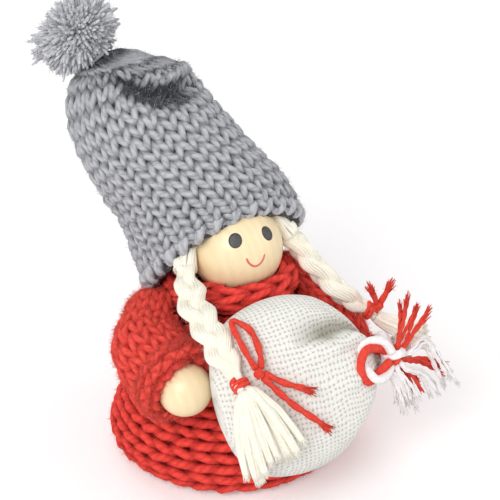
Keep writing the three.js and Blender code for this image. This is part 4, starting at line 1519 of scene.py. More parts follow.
@dataclass
class Arm:
    """Stuffed sleeve with its rolled cuff and bead hand."""

    side: str
    body: Body
    shoulder: Vector
    elbow: Vector
    wrist: Vector
    dress: DressForm
    radii: tuple[float, ...] = (10.5, 10.5, 12.6, 12.0)
    stitch: Stitch = Stitch(wales=14, rows=8, yarn=1.3, depth=0.9)
    span: tuple[float, float] = (0.02, 0.97)
    sink: float = 1.8
    backing: float = 2.9
    backing_span: tuple[float, float] = (0.01, 0.98)
    dress_gap: float = 0.9
    cuff_radius: float = 9.6
    cuff_roll: float = 4.2
    cuff_stitch: Stitch = Stitch(wales=15, rows=6, yarn=1.35, depth=0.9, purl=True)
    cuff_sink: float = 1.5
    cuff_backing: float = 2.4
    hand_radius: float = 8.6
    hand_proud: float = 4.4
    hand_bore: float = 1.1
    hand_gap: float = 1.0

    def __post_init__(self) -> None:
        """Draws the sleeve's middle line and finds the hand."""
        first = (self.elbow - self.shoulder).normalized()
        self.route = Route([self.shoulder - first * self.radii[0], self.shoulder, self.elbow, self.wrist])
        self.ahead = Route([self.shoulder, self.elbow, self.wrist]).heading(1.0)
        self.count = 60
        self.marks = [self.route.along(i / self.count) for i in range(self.count + 1)]
        self.frames = frames_of(self.marks, Vector((1, 0, 0)))

    def tube(self, along: float, share: float, grow: float) -> Vector:
        """Point of the sleeve.

        Args:
            along: share of its length.
            share: part of a full turn.
            grow: height over the surface.

        Returns:
            The point.
        """
        spot = min(max(along, 0.0), 1.0) * self.count
        low = min(int(spot), self.count - 1)
        part = spot - low
        centre = self.marks[low].lerp(self.marks[low + 1], part)
        side, rise = (before.lerp(after, part).normalized()
                      for before, after in zip(self.frames[low], self.frames[low + 1]))
        radius = blend(self.radii, along) + grow
        dome = self.radii[0] / self.route.length
        if along < dome:
            off = 1 - along / dome
            radius *= sqrt(max(0.0, 1 - off * off))
        angle = TURN * share
        return centre + radius * spoke(side, rise, angle)

    def roll(self, turn: float, share: float, grow: float) -> Vector:
        """Point of the cuff for an angle round its roll and a share round the wrist."""
        across = self.ahead.orthogonal().normalized()
        over = self.ahead.cross(across)
        out = spoke(across, over, TURN * share)
        size = self.cuff_roll + grow
        return (self.wrist + out * (self.cuff_radius + size * cos(turn))
                + self.ahead * size * sin(turn))

    def build(self, wool: Wool, steel: Material) -> None:
        """Makes the sleeve, the cuff and the hand.

        Args:
            wool: materials of the sleeve and the cuff.
            steel: material of the wire.
        """
        fuzz = Fuzz(10500, 2.0, 0.055, seed=21)
        part = Knitwear(f"{self.side}_sleeve", wool, Slot.RED_WOOL, 0.8, fuzz, self.body)
        knit = part.spool()
        self.stitch.knit(knit, self._sleeve, keep=self._clear, unrest=0.45)
        part.finish(knit, self._inside, 40, 30, lambda point: nearest(self.marks[::6], point))
        fuzz = Fuzz(13500, 2.0, 0.06, seed=23)
        part = Knitwear(f"{self.side}_cuff", wool, Slot.RED_WOOL, 0.7, fuzz, self.body)
        knit = part.spool()
        self.cuff_stitch.knit(knit, self._cuff, keep=self._off_hand, unrest=0.7)
        part.finish(knit, lambda u, v: self.roll(TURN * u, v, -self.cuff_backing), 20, 48, self._ring_heart)
        centre = self.wrist + self.ahead * self.hand_proud
        name = f"{self.side}_hand"
        Bead(name, centre, self.hand_radius, self.ahead, self.hand_bore, True, self.body).build()
        refinish(bpy.data.objects[f"{self.side}_arm_wire"], steel)

    def _sleeve(self, wale: float, row: float, depth: float) -> Vector:
        """Point of the sleeve's knitting."""
        start, span = self.span
        return self.tube(start + span * row / self.stitch.rows, wale / self.stitch.wales, depth - self.sink)

    def _inside(self, share: float, along: float) -> Vector:
        """Point of the sleeve's backing."""
        start, span = self.backing_span
        return self.tube(start + along * span, share, -self.backing)

    def _cuff(self, wale: float, row: float, depth: float) -> Vector:
        """Point of the cuff's knitting, whose inside shows."""
        stitch = self.cuff_stitch
        return self.roll(TURN * row / stitch.rows, wale / stitch.wales, depth - self.cuff_sink)

    def _clear(self, point: Vector) -> bool:
        """Whether a point of the sleeve is outside the dress and the hand."""
        least = self.dress.radius(point.z) + self.dress_gap
        return hypot(point.x, point.y) > least and self._off_hand(point)

    def _off_hand(self, point: Vector) -> bool:
        """Whether a point is clear of the hand."""
        return (point - self.wrist - self.ahead * self.hand_proud).length > self.hand_radius + self.hand_gap

    def _ring_heart(self, point: Vector) -> Vector:
        """Nearest point of the cuff's ring."""
        off = point - self.wrist
        flat = (off - self.ahead * off.dot(self.ahead)).normalized()
        return self.wrist + flat * self.cuff_radius


# Hair


@dataclass
class Braid:
    """Plait of three strands with its tie, bow and tassel.

    swell is how much fuller than its width and thickness the plait is drawn. strand is the share of both that
    a strand's radius takes. tassel_ease is how much of its full spread the tassel has.
    """

    side: str
    body: Body
    route: tuple[Vector, ...]
    facing: Vector
    knot_side: Vector
    tassel_end: Vector
    tassel_across: Vector
    tassel_width: float
    ends: tuple[tuple[Vector, ...], ...]
    loop: tuple[Vector, ...] = ()
    width: float = 4.9
    thick: float = 3.4
    swell: tuple[float, float] = (1.12, 1.1)
    root: float = 3.8
    pitch: float = 30.0
    strand: tuple[float, float] = (0.55, 0.72)
    squeeze: float = 0.12
    core: float = 0.42
    fine: float = 0.46
    fine_count: int = 16
    fine_turn: float = 0.09
    tie: float = 2.6
    tie_length: float = 5.0
    tie_turns: float = 2.2
    tie_pitch: float = 1.4
    yarn: float = 0.8
    knot: float = 1.7
    knot_gap: float = 0.6
    knot_turns: float = 1.3
    bow_pitch: float = 13.0
    tassel_thick: float = 3.2
    tassel_yarn: float = 0.66
    tassel_yarns: int = 60
    tassel_lock: int = 5
    tassel_steps: int = 18
    tassel_fit: tuple[float, float] = (0.93, 0.8)
    tassel_ease: float = 1.0

    def __post_init__(self) -> None:
        """Draws the braid's middle line."""
        self.first = (self.route[1] - self.route[0]).normalized()
        self.line = Route([self.route[0] - self.first * self.root, *self.route])
        self.end = self.line.along(1.0)
        self.down = self.line.heading(1.0)
        self.tie_at = self.end - self.down * self.tie_length / 2

    def build(self, cream: Material, red: Material) -> None:
        """Makes the braid, its tie and its tassel.

        Args:
            cream: material of the hair.
            red: material of the tie.
        """
        self._plait(cream)
        self._tie(red)
        self._tassel(cream)

    def _sizes(self, share: float) -> list[float]:
        """Half-width and half-thickness along the braid."""
        full = (self.width * self.swell[0], self.thick * self.swell[1])
        return [blend([self.root, self.root, *[size] * 5, self.tie, self.tie], share) for size in full]

    def _plait(self, cream: Material) -> None:
        """Three strands of fine yarns that cross in turn."""
        count = round(self.line.length)
        marks = [self.line.along(i / count) for i in range(count + 1)]
        frames = frames_of(marks, self.first.cross(self.facing))
        spool = YarnSpool(f"{self.side}_plait", 1)
        chance = random.Random(SEEDS["plait"])
        for strand in range(3):
            bundle: list[list[Vector]] = [[] for _ in range(self.fine_count)]
            radii: list[float] = []
            for i, (mark, (side, rise)) in enumerate(zip(marks, frames)):
                wide, deep = self._sizes(i / count)
                phase = TURN * (i * self.line.length / count / self.pitch + strand / 3)
                thick = min(wide * self.strand[0], deep * self.strand[1])
                centre = (mark + side * (wide - thick) * sin(phase)
                          + rise * (deep - thick) * sin(2 * phase))
                squeeze = 1 - self.squeeze * abs(cos(phase))
                for k, line in enumerate(bundle):
                    angle = TURN * k / self.fine_count + self.fine_turn * i
                    off = side * cos(angle) * thick * squeeze + rise * sin(angle) * thick
                    line.append(centre + off * (1 - self.fine / thick * 0.9))
                radii.append(self.fine * min(1.0, thick / 2.3 + 0.15))
            for line in bundle:
                stray = chance.uniform(0.9, 1.12)
                spool.lay(line, [radius * stray for radius in radii])
            core = [sum((line[i] for line in bundle), Vector()) / len(bundle) for i in range(count + 1)]
            spool.lay(core, [min(self._sizes(i / count)) * self.core for i in range(count + 1)])
        settle(spool.piece(), cream, self.body, Slot.CREAM_YARN, [f"{self.side}_braid"], fill=0.8)
        middle = [self.line.along(i / 20) for i in range(21)]
        hairs = Fuzz(700, 1.7, 0.03, 0.5, seed=33).comb(
            f"{self.side}_plait_fuzz", spool, lambda point: nearest(middle, point))
        settle(hairs.piece(), cream, self.body, Slot.CREAM_YARN)

    def _tie(self, red: Material) -> None:
        """Turns of red yarn, the knot, the loop and the ends."""
        winding = YarnSpool(f"{self.side}_tie", 1)
        reach = self.tie - self.yarn * 0.45
        turns = wound(self.tie_at, self.down, self.facing, reach, self.tie_turns, self.tie_pitch)
        winding.lay(turns, self.yarn)
        settle(winding.piece(), red, self.body, Slot.RED_YARN, [f"{self.side}_braid_tie"])
        out = (self.knot_side - self.down * self.knot_side.dot(self.down)).normalized()
        knot_at = self.tie_at + out * (self.tie + self.knot_gap + 2 * self.yarn + self.knot)
        knot = YarnSpool(f"{self.side}_knot", 1)
        for axis, across in ((self.down, out), (out, self.down), (self.down.cross(out), out)):
            ball = wound(knot_at, axis.normalized(), across, self.knot * 0.56, self.knot_turns, 0.9)
            knot.twine(ball, 2, self.yarn * 0.6, self.yarn * 0.4, 4.0)
        settle(knot.piece(), red, self.body, Slot.RED_YARN, [f"{self.side}_bow_knot"])
        cords = [(f"bow_tail_{i}", f"bow_end_{i}", offsets, True) for i, offsets in enumerate(self.ends, 1)]
        if self.loop:
            cords.append(("bow_ear", "bow_loop", self.loop, False))
        for name, node, offsets, frayed in cords:
            points = [knot_at + offset for offset in offsets]
            self._cord(f"{self.side}_{name}", points, red, f"{self.side}_{node}", frayed)

    def _cord(self, name: str, points: Sequence[Vector], red: Material, node: str, frayed: bool) -> None:
        """Two-ply yarn along a line, frayed at its end or not."""
        line = Route(points).spaced(0.8)
        spool = YarnSpool(name, 1)
        spool.twine(line, 2, self.yarn * 0.98, self.yarn * 0.4, self.bow_pitch)
        if frayed:
            brush(spool, line, 22, 4.6, self.yarn * 1.5, 0.2)
        fuzz = Fuzz(7 * len(line), 1.2, 0.04, 0.9, seed=len(name))
        hairs = fuzz.comb(name + "_fuzz", spool, lambda point: nearest(line, point))
        settle(spool.piece(), red, self.body, Slot.RED_YARN, [node])
        settle(hairs.piece(), red, self.body, Slot.RED_YARN)

    def _tassel(self, cream: Material) -> None:
        """Yarn ends in small locks that fan out below the tie."""
        chance = random.Random(SEEDS["tassel"])
        spool = YarnSpool(f"{self.side}_tassel_yarn", 1)
        start = self.end + self.down * 0.3
        middle = Route([start, start + self.down * self.tie_length / 2, self.tassel_end])
        across = self.tassel_across.normalized()
        for i in range(self.tassel_yarns):
            if i % self.tassel_lock == 0:
                part = (i + self.tassel_lock / 2) / self.tassel_yarns
                lock = 2.1 * part - 1.05 + chance.uniform(-0.08, 0.08)
                lie = chance.uniform(-0.8, 0.8) * sqrt(max(0.1, 1 - lock * lock))
                size = (1.05 - 0.16 * part) * chance.uniform(0.88, 1.03)
            turn = TURN * (i % self.tassel_lock) / self.tassel_lock + lock
            line = []
            for k in range(self.tassel_steps + 1):
                share = k / self.tassel_steps * size
                part = blend((0, 0.5, 0.8, 1), share)
                travel = middle.heading(share)
                side = (across - travel * across.dot(travel)).normalized()
                rise = travel.cross(side)
                half, thick = ((self.tie + (full - self.tie) * part) * fit * self.tassel_ease
                               for full, fit in zip((self.tassel_width, self.tassel_thick), self.tassel_fit))
                loose = (0.55 + 0.25 * sin(pi * k / self.tassel_steps)) * self.tassel_ease
                angle = turn + 0.06 * k
                line.append(middle.along(share) + side * (half * lock + loose * cos(angle))
                            + rise * (thick * lie + loose * sin(angle)))
            spool.lay(line, self.tassel_yarn)
            brush(spool, line, 9, 2.6, 0.7, 0.14, seed=i)
        settle(spool.piece(), cream, self.body, Slot.CREAM_YARN, [f"{self.side}_tassel"], fill=0.5)


def brush(spool: YarnSpool, line: Sequence[Vector], count: int, length: float, width: float, radius: float,
          seed: int = 0) -> None:
    """Adds the loose fibres of a cut yarn end.

    Args:
        spool: what takes the fibres.
        line: the yarn, whose last point is its end.
        count: number of fibres.
        length: their length.
        width: half-width of the yarn's end.
        radius: their radius.
        seed: start of the chance numbers.
    """
    chance = random.Random(SEEDS["brush"] + seed)
    at, way = line[-1], (line[-1] - line[-3]).normalized()
    side = way.orthogonal().normalized()
    over = way.cross(side)
    for _ in range(count):
        off = spoke(side, over, chance.uniform(0, TURN))
        start = at - way * 0.8 + off * width * chance.uniform(0.2, 0.7)
        spread = off * chance.uniform(0.2, 0.9) * width
        size = length * chance.uniform(0.6, 1.1)
        spool.lay([start, start + way * size * 0.5 + spread * 0.4, start + way * size + spread],
                  [radius, radius, radius * 0.6])


@dataclass
class HairBand:
    """Yarns that lie over the head from one braid's root to the other's."""

    head: Head
    roots: tuple[Vector, Vector]
    gap: float = 0.3
    thickness: float = 3.4
    width: float = 12.0
    lean: float = 28.0
    turns: tuple[float, ...] = (12, 50, 90, 130, 168)
    root_radius: float = 3.8
    yarn: float = 0.55
    sway: float = 0.12
    rings: tuple[tuple[float, int], ...] = ((0.86, 24), (0.5, 12))

    def build(self, cream: Material) -> None:
        """Makes the band.

        Args:
            cream: material of the hair.
        """
        lean = radians(self.lean)
        reach = self.head.radius + self.gap + self.thickness / 2
        crown = Vector((0, sin(lean), cos(lean)))
        arc = [self.head.centre + Vector((-1, 0, 0)) * reach * cos(turn) + crown * reach * sin(turn)
               for turn in (radians(turn) for turn in self.turns)]
        line = Route([self.roots[0], *arc, self.roots[1]])
        count = 60
        marks = [line.along(i / count) for i in range(count + 1)]
        frames = frames_of(marks, Vector((0, cos(lean), -sin(lean))))
        wide, deep = ([self.root_radius, *[size / 2] * 4, self.root_radius]
                      for size in (self.width, self.thickness))
        spool = YarnSpool("hair_yarn", 1)
        chance = random.Random(SEEDS["hair"])
        for size, number in self.rings:
            for k in range(number):
                phase = chance.uniform(0, TURN)
                path = []
                for i, (mark, (side, rise)) in enumerate(zip(marks, frames)):
                    half, thick = blend(wide, i / count), blend(deep, i / count)
                    turn = TURN * k / number + self.sway * sin(phase + i * 0.25)
                    path.append(mark + side * half * size * cos(turn)
                                + rise * thick * size * sin(turn))
                spool.lay(path, self.yarn * chance.uniform(0.85, 1.15))
        settle(spool.piece(), cream, Body.DOLL, Slot.CREAM_YARN, ["hair_band"], fill=0.5)


# Sack


@dataclass
class Sack:
    """Linen sack with its gathered neck, and the twisted cord that ties it.

    A station is a place along the sack and the half-height and half-thickness there. The crease is given by
    places along the sack and angles round it, and its fade by places and shares of its depth. The lip is the
    cloth that hangs over the crease: its share of the depth, its offset and its width in degrees. Up to the
    place held_to, the cloth is held to its solid.
    """

    centre: Vector = field(default_factory=lambda: Vector((3.4, -40.8, 41.6)))
    lean: float = 27.0
    tilt: float = 2.5
    stations: tuple[Triple, ...] = (
        (-27.5, 8.5, 3.2), (-25.2, 16.5, 6.4), (-18, 24.6, 11), (-8, 27.6, 13.6), (2, 27.6, 14),
        (10.4, 24.8, 13.2), (16.2, 20.2, 12), (21.8, 13.8, 9.4), (25.2, 8, 6))
    station_rows: int = 44
    facets: int = 280
    pleats: int = 8
    pleat_depth: float = 0.09
    pleat_from: float = 4.0
    neck_at: float = 30.9
    neck_length: float = 7.8
    neck_radius: float = 3.0
    neck_rows: tuple[float, ...] = (0.3, 0.55, 0.8)
    mouth_radius: float = 5.0
    mouth_length: float = 4.5
    mouth_rows: tuple[float, ...] = (0.4, 0.75, 1.0)
    crease: tuple[tuple[float, float], ...] = ((-4, 151), (10, 150), (19, 139), (26, 126), (31, 112))
    crease_fade: tuple[tuple[float, float], ...] = ((-4, 0), (9, 1), (20, 0.9), (30, 0.3))
    crease_depth: float = 4.0
    crease_slopes: tuple[float, float] = (14.0, 3.0)
    lip: Triple = (0.55, 9.0, 6.0)
    held_to: float = 30.0
    held_gap: float = 1.3
    held_out: float = 0.1
    cord: float = 1.35
    cord_gap: float = 0.3
    cord_turns: float = 1.5
    cord_pitch: float = 3.2
    cord_twist: float = 24.0
    knot: float = 2.6
    knot_around: float = 94.0
    yarns: int = 5
    yarn_parts: tuple[float, ...] = (0.3, 0.5, 1.3, 2.6)
    loop_drawn: float = 0.84
    loop: tuple[Triple, ...] = (
        (-6.2, 1.4, 6.4), (-13.4, 0.8, 7), (-16, -3.2, 1.4), (-12.6, -5.2, -3.6), (-6.4, -3, -3.4))
    red_strands: tuple[tuple[Triple, ...], ...] = (
        ((0.4, 0.3, 0.85), (5.2, 4.4, 7.4), (8, 7, 12)),
        ((0.85, 0.25, 0.45), (8, 2.8, 5.8), (12.4, 5.2, 8)),
        ((0.85, -0.1, -0.5), (10.2, 1, -5.6), (16.8, -0.2, -10)),
        ((0.5, 0.3, -0.8), (5.2, -0.8, -7), (8.2, -1.4, -12)))
    white_strands: tuple[tuple[Triple, ...], ...] = (
        ((0.97, -0.15, 0.1), (11.4, 1.6, 1.6), (18.6, -3, -12)),
        ((-0.5, -0.2, -0.85), (-1.6, -3.6, -8.6), (-0.2, -4.8, -15)),
        ((0, -0.45, -0.9), (2.2, -4.6, -9), (4.6, -6, -16)),
        ((0.5, -0.5, -0.7), (8.4, -3, -6.8), (12.8, -4, -13.2)))

    def __post_init__(self) -> None:
        """Sets the sack's own axes."""
        lean, tilt = radians(self.lean), radians(self.tilt)
        self.normal = Vector((0, -cos(lean), sin(lean)))
        slope = Vector((0, sin(lean), cos(lean)))
        self.run = Vector((cos(tilt), 0, 0)) + slope * sin(tilt)
        self.up = Vector((-sin(tilt), 0, 0)) + slope * cos(tilt)
        self.profile = Route([Vector(station) for station in self.stations])
        self.neck = self.centre + self.run * self.neck_at

    def sections(self) -> list[Triple]:
        """Sections of the cloth: place along, half-height and half-thickness."""
        made = [tuple(self.profile.along(i / self.station_rows)) for i in range(self.station_rows + 1)]
        start, end = self.neck_at - self.neck_length / 2, self.neck_at + self.neck_length / 2
        neck, mouth = self.neck_radius, end + self.mouth_length
        flare = self.mouth_radius - neck
        rings = [(start + 0.4, neck)]
        rings += [(start + (end - start) * share, neck) for share in self.neck_rows]
        rings += [(end, neck + 0.3)]
        rings += [(end + self.mouth_length * share, neck + flare * share) for share in self.mouth_rows]
        rings += [(mouth - 0.2, self.mouth_radius - 0.7), (mouth - 2.5, 3.4), (end, 1.4)]
        return [*made, (start - 0.6, 4.0, 3.8), *((at, radius, radius) for at, radius in rings)]

    def rows(self) -> list[tuple[float, ...]]:
        """Sections with the depth of their pleats and the way from the first one along the cloth."""
        out: list[tuple[float, ...]] = []
        way = 0.0
        for at, height, thick in self.sections():
            share = min(max((at - self.pleat_from) / (self.neck_at - self.pleat_from), 0.0), 1.0)
            ease = share * share * (3 - 2 * share)
            if out:
                way += hypot(at - out[-1][0], thick - out[-1][2])
            out.append((at, height, thick, self.pleat_depth * ease, way))
        return out

    def build(self, red: Material) -> None:
        """Makes the cloth and the cord.

        Args:
            red: material of the cord's red yarns.
        """
        columns = list(zip(*self.rows()))
        node = merged("sack_cloth")
        solid = BVHTree.FromBMesh(node)
        node.free()

        def surface(share: float, along: float) -> Vector:
            """Point of the cloth."""
            at, height, thick, pleat, _ = (blend(column, along) for column in columns)
            angle = TURN * share
            fine = 0.35 * cos(17 * angle + 0.8) + 0.3 * cos(23 * angle)
            swell = 1 + pleat * (cos(self.pleats * angle) + fine)
            point = (self.centre + self.run * at + self.up * height * swell * sin(angle)
                     - self.normal * thick * swell * cos(angle))
            return self._held(point, solid, at) - self.normal * self._crease(at, angle)

        def chart(share: float, along: float) -> Vector:
            """Place of the weave's threads, and how far the cloth is out of the crease."""
            at, height, thick, _, way = (blend(column, along) for column in columns)
            angle = TURN * share
            round_way = (angle - pi) * hypot(height, thick) / sqrt(2)
            shadow = max(0.0, self._crease(at, angle)) / self.crease_depth
            return Vector((way, round_way, 1 - shadow))

        cloth = shell("sack_linen", surface, self.facets, 2 * (len(columns[0]) - 1), chart)
        modified(cloth, ("SMOOTH", {"factor": 0.5, "iterations": 2}))
        settle(cloth, LINEN.material(), Body.DOLL, Slot.LINEN, ["sack_cloth"], fill=0.8)
        self._cord(red, WHITE_YARN.material())

    def _crease(self, at: float, angle: float) -> float:
        """Depth of the fold that runs from the neck into the front, whose lower lip hangs over it."""
        off = degrees(angle) - float(np.interp(at, *zip(*self.crease)))
        depth = self.crease_depth * float(np.interp(at, *zip(*self.crease_fade)))
        groove = exp(-((off / self.crease_slopes[0 if off < 0 else 1]) ** 2))
        share, offset, width = self.lip
        return depth * (groove - share * exp(-(((off - offset) / width) ** 2)))

    def _held(self, point: Vector, solid: BVHTree, at: float) -> Vector:
        """Keeps the cloth on the side of the solid sack that other pieces press flat."""
        if at > self.held_to:
            return point
        gap = self.held_gap * MM
        place, normal, _, distance = solid.find_nearest(point * MM)
        if place is None or (point * MM - place).dot(normal) < gap or distance < gap:
            return point
        return (place + normal * self.held_out * MM) / MM

    def _cord(self, red: Material, white: Material) -> None:
        """Turns, knot, loop and frayed ends of the twisted cord."""
        reach = self.neck_radius + self.cord_gap + self.cord
        turns = wound(self.neck, self.run, self.up, reach, self.cord_turns, self.cord_pitch)
        far = reach + self.cord + self.cord_gap + self.knot
        angle = radians(self.knot_around)
        knot = self.neck + self.up * far * cos(angle) + self.normal * far * sin(angle)
        ball = wound(knot, self.up, self.run, self.knot * 0.5, 1.5, 1.6)
        leave, enter = (knot + Vector(self.loop[i]).normalized() * self.knot for i in (0, -1))
        bight = (knot + Vector(point) * self.loop_drawn for point in self.loop)
        loop = Route([leave, *bight, enter]).spaced(0.8)
        for name, line, node, first in (("cord_turns", turns, "sack_tie", self.run),
                                        ("cord_knot", ball, "sack_tie_knot", self.up),
                                        ("cord_loop", loop, "sack_tie_loop", self.normal)):
            self._twist(name, line, red, white, node, first)
        for colour, finish, slot, strands in (("red", red, Slot.RED_YARN, self.red_strands),
                                              ("white", white, Slot.WHITE_YARN, self.white_strands)):
            for i, (heading, via, end) in enumerate(strands):
                way = Vector(heading).normalized()
                points = [knot + way * self.knot * 0.8, knot + way * 2 * self.knot,
                          knot + Vector(via), knot + Vector(end)]
                piece = self._strand(f"cord_{colour}_end_{i + 1}", points, i)
                settle(piece, finish, Body.DOLL, slot, [f"sack_tie_{colour}_strand_{i + 1}"])

    def _twist(self, name: str, line: Sequence[Vector], red: Material, white: Material, node: str,
               first: Vector) -> None:
        """Red and white yarns twisted together along a line; the red ones stand for the node."""
        for colour, finish, start in (("red", red, pi), ("white", white, 0.0)):
            spool = YarnSpool(f"{name}_{colour}", 1)
            spool.twine(line, 1, self.cord * 1.08, self.cord * 0.9, self.cord_twist, start=start, first=first)
            settle(spool.piece(), finish, Body.DOLL, Slot.TWISTED_CORD, [node] if colour == "red" else [])

    def _strand(self, name: str, points: Sequence[Vector], seed: int) -> Piece:
        """Yarns of one of the cord's ends, which part from each other towards their frayed tips."""
        chance = random.Random(SEEDS["cord"] + seed)
        spool = YarnSpool(name, 1)
        for _ in range(self.yarns):
            fan = scatter(chance).normalized()
            ways = [point + fan * spread for point, spread in zip(points, self.yarn_parts)]
            line = Route(ways).spaced(0.8)
            spool.twine(line, 2, 0.42, 0.26, 7.0, start=seed)
            brush(spool, line, 12, 3.4, 0.8, 0.13, seed=seed)
        return spool.piece()


def merged(name: str) -> bmesh.types.BMesh:
    """Mesh of a node of the frame with its doubles merged, in metres."""
    shape = bmesh.new()
    shape.from_mesh(bpy.data.objects[name].data)
    bmesh.ops.remove_doubles(shape, verts=shape.verts, dist=1e-6)
    return shape


# Inside


@dataclass
class Inside:
    """Pieces that the knitting and the sack hide: the stuffing, the base disc and the dowel."""

    head: Head
    wads: tuple[str, ...] = ("body_stuffing", "hat_stuffing", "sack_stuffing")
    tuft: float = 1.6
    sink: float = 2.2
    disc_rise: float = 2.0
    peg_rise: float = 55.0

    def build(self) -> None:
        """Makes the stuffing and finishes the wooden pieces."""
        fibre = WadFinish().material()
        for name in self.wads:
            piece = mesh_piece(name + "_wad", merged(name))
            modified(piece, ("REMESH", {"mode": "VOXEL", "voxel_size": self.tuft * MM}),
                     ("SMOOTH", {"factor": 0.6, "iterations": 6}),
                     ("DISPLACE", {"strength": -self.sink * MM, "mid_level": 0.0}))
            settle(piece, fibre, Body.DOLL, Slot.STUFFING, [name], fill=0.9)
        middles = {"base_disc": Vector((0, 0, self.disc_rise)),
                   "neck_peg": Vector((*self.head.centre.xy, self.peg_rise))}
        for name, centre in middles.items():
            wood = WoodFinish(f"{name}_wood", WOOD_LIGHT, WOOD_DARK, centre, 0.0)
            refinish(bpy.data.objects[name], wood.material())


# Studio


@dataclass
class Studio:
    """Pale floor, soft lamps and the camera.

    A lamp is its name, its place and size in metres, and its power in watts.
    """

    aim: Vector = field(default_factory=lambda: Vector((5.27, -4.96, 70.17)))
    azimuth: float = -27.0
    elevation: float = 30.0
    distance: float = 520.0
    focal: float = 117.0
    sensor: float = 36.0
    floor_size: float = 3.0
    floor_glow: float = 0.2
    air: float = 0.55
    backdrop: float = 1.0
    lamps: tuple[tuple[str, Triple, float, float], ...] = (
        ("key", (-0.62, -0.5, 0.68), 0.55, 6.0),
        ("fill", (0.75, -0.5, 0.5), 0.7, 2.4),
        ("back", (0.1, 0.8, 0.6), 0.6, 2.4))

    def build(self) -> None:
        """Makes the camera, the floor, the lamps and the world."""
        bpy.context.scene.view_settings.view_transform = "Standard"
        self._camera()
        self._floor()
        for lamp in self.lamps:
            self._lamp(*lamp)
        self._world()

    def _camera(self) -> None:
        """Camera that looks down at the doll."""
        turn, rise = radians(self.azimuth), radians(self.elevation)
        ahead = Vector((-sin(turn) * cos(rise), cos(turn) * cos(rise), -sin(rise)))
        camera = bpy.data.objects.new("camera", bpy.data.cameras.new("camera"))
        camera.data.lens = self.focal
        camera.data.sensor_width = self.sensor
        camera.data.clip_start = 0.01
        camera.location = (self.aim - ahead * self.distance) * MM
        camera.rotation_euler = ahead.to_track_quat("-Z", "Y").to_euler()
        bpy.context.scene.collection.objects.link(camera)
        bpy.context.scene.camera = camera

    def _world(self) -> None:
        """White surroundings, brighter where the camera sees them than as light."""
        world = bpy.data.worlds.new("studio_air")
        world.use_nodes = True
        bpy.context.scene.world = world
        nodes, links = world.node_tree.nodes, world.node_tree.links
        plain = nodes["Background"]
        plain.inputs["Color"].default_value = (1, 1, 1, 1)
        plain.inputs["Strength"].default_value = self.air
        seen = nodes.new("ShaderNodeBackground")
        seen.inputs["Strength"].default_value = self.backdrop
        rays = nodes.new("ShaderNodeLightPath")
        mix = nodes.new("ShaderNodeMixShader")
        sources = (rays.outputs["Is Camera Ray"], plain.outputs[0], seen.outputs[0])
        for source, target in zip(sources, mix.inputs):
            links.new(source, target)
        links.new(mix.outputs[0], nodes["World Output"].inputs["Surface"])

    def _floor(self) -> None:
        """White floor that keeps the doll's shadow."""
        shape = bmesh.new()
        bmesh.ops.create_grid(shape, x_segments=1, y_segments=1, size=self.floor_size / 2)
        floor = mesh_piece("floor", shape)
        shader = Shader("white_floor", 0.8, Specular_IOR_Level=0.1, Base_Color=(0.86, 0.85, 0.85, 1.0),
                        Emission_Color=(1.0, 1.0, 1.0, 1.0))
        seen = shader.node("LightPath")
        glow = shader.math("MULTIPLY", seen.outputs["Is Camera Ray"], self.floor_glow)
        shader.link(glow, shader.surface.inputs["Emission Strength"])
        floor.data.materials.append(shader.material)

    def _lamp(self, name: str, at: Triple, size: float, power: float) -> None:
        """Square soft lamp that faces the doll."""
        lamp = bpy.data.lights.new(name, "AREA")
        lamp.shape = "SQUARE"
        lamp.size = size
        lamp.energy = power
        holder = bpy.data.objects.new(name, lamp)
        holder.location = at
        holder.rotation_euler = (self.aim * MM - Vector(at)).to_track_quat("-Z", "Y").to_euler()
        bpy.context.scene.collection.objects.link(holder)


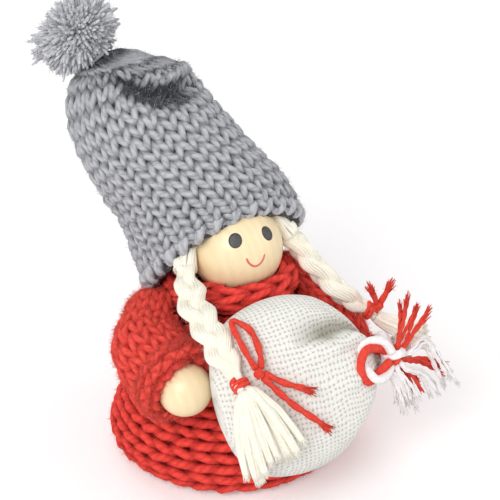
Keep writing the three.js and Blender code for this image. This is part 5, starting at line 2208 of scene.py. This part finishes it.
def main() -> None:
    """Builds the doll's finish round its frame."""
    logging.basicConfig(level=logging.INFO, format="%(name)s: %(message)s")
    noise.seed_set(NOISE_SEED)
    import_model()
    Studio().build()
    head = Head()
    head.build()
    Hat(HatForm(head)).build()
    form = DressForm()
    arms = (Arm("right", Body.RIGHT_ARM, *vectors((-25, 3, 48), (-32, -7.5, 45), (-30, -24.5, 42.6)), form),
            Arm("left", Body.LEFT_ARM, *vectors((25, 3, 48), (30.5, -7.5, 40), (29, -24, 31)), form))
    # The backing paints the shade between the yarns and the fluff is painted lighter than the wool.
    backing, fluff, steel = RED_SHADE_BACKING.material(), LIT_RED_FLUFF.material(), SteelFinish().material()
    Dress(form, head, tuple(arm.shoulder for arm in arms)).build(Wool(RED_WOOL.material(), backing, fluff))
    # Painted light: the sleeves take a lighter copy of the red wool.
    lit_sleeves = Wool(LIT_SLEEVE_WOOL.material(), backing, fluff)
    for arm in arms:
        arm.build(lit_sleeves, steel)
    right = Braid(
        "right", Body.RIGHT_BRAID,
        route=vectors((-18.6, -7, 70), (-21.5, -19, 65.2), (-21.5, -32.4, 61.2), (-20.5, -51.7, 52.3)),
        facing=Vector((-0.45, -0.8, 0.4)), knot_side=Vector((0.8, -0.6, 0.2)),
        tassel_end=Vector((-13.5, -60.5, 27.8)), tassel_across=Vector((0.84, -0.15, 0.5)), tassel_width=11,
        loop=vectors((-0.6, 1, 1.4), (-1, 8, 4.4), (-1.6, 15, 10.5), (2.6, 11.5, 8.3), (3, 5.5, 3.9),
                     (1.2, 1, 1)),
        ends=(vectors((1.7, -0.3, -0.2), (7.6, -2.7, -4.2), (12.9, -4.8, -6.4)),
              vectors((1, -0.8, -1.2), (7.9, -5.7, -9.5), (17.1, -9.3, -18.2))))
    left = Braid(
        "left", Body.LEFT_BRAID,
        route=vectors((20.8, -4, 70.5), (25.5, -12, 62.5), (29.9, -19.7, 56.3), (39.8, -26.9, 48)),
        facing=Vector((0.66, 0.11, 0.7)), knot_side=Vector((-0.2, -0.5, 0.84)),
        tassel_end=Vector((56, -34, 38.5)), tassel_across=Vector((0.4, -0.1, 0.9)), tassel_width=7,
        tassel_yarns=35, tassel_ease=0.6,
        ends=(vectors((-0.9, 0, 1.2), (-1.4, 0, 3.4), (-2.6, 0, 6)),
              vectors((0.9, 0, 1.2), (2.2, 0, 3), (3.4, 0, 5.2))))
    cream, yarn = CREAM_YARN.material(), RED_YARN.material()
    HairBand(head, (right.route[0], left.route[0])).build(cream)
    for braid in (right, left):
        braid.build(cream, yarn)
    Sack().build(yarn)
    Inside(head).build()


if __name__ == "__main__":
    main()
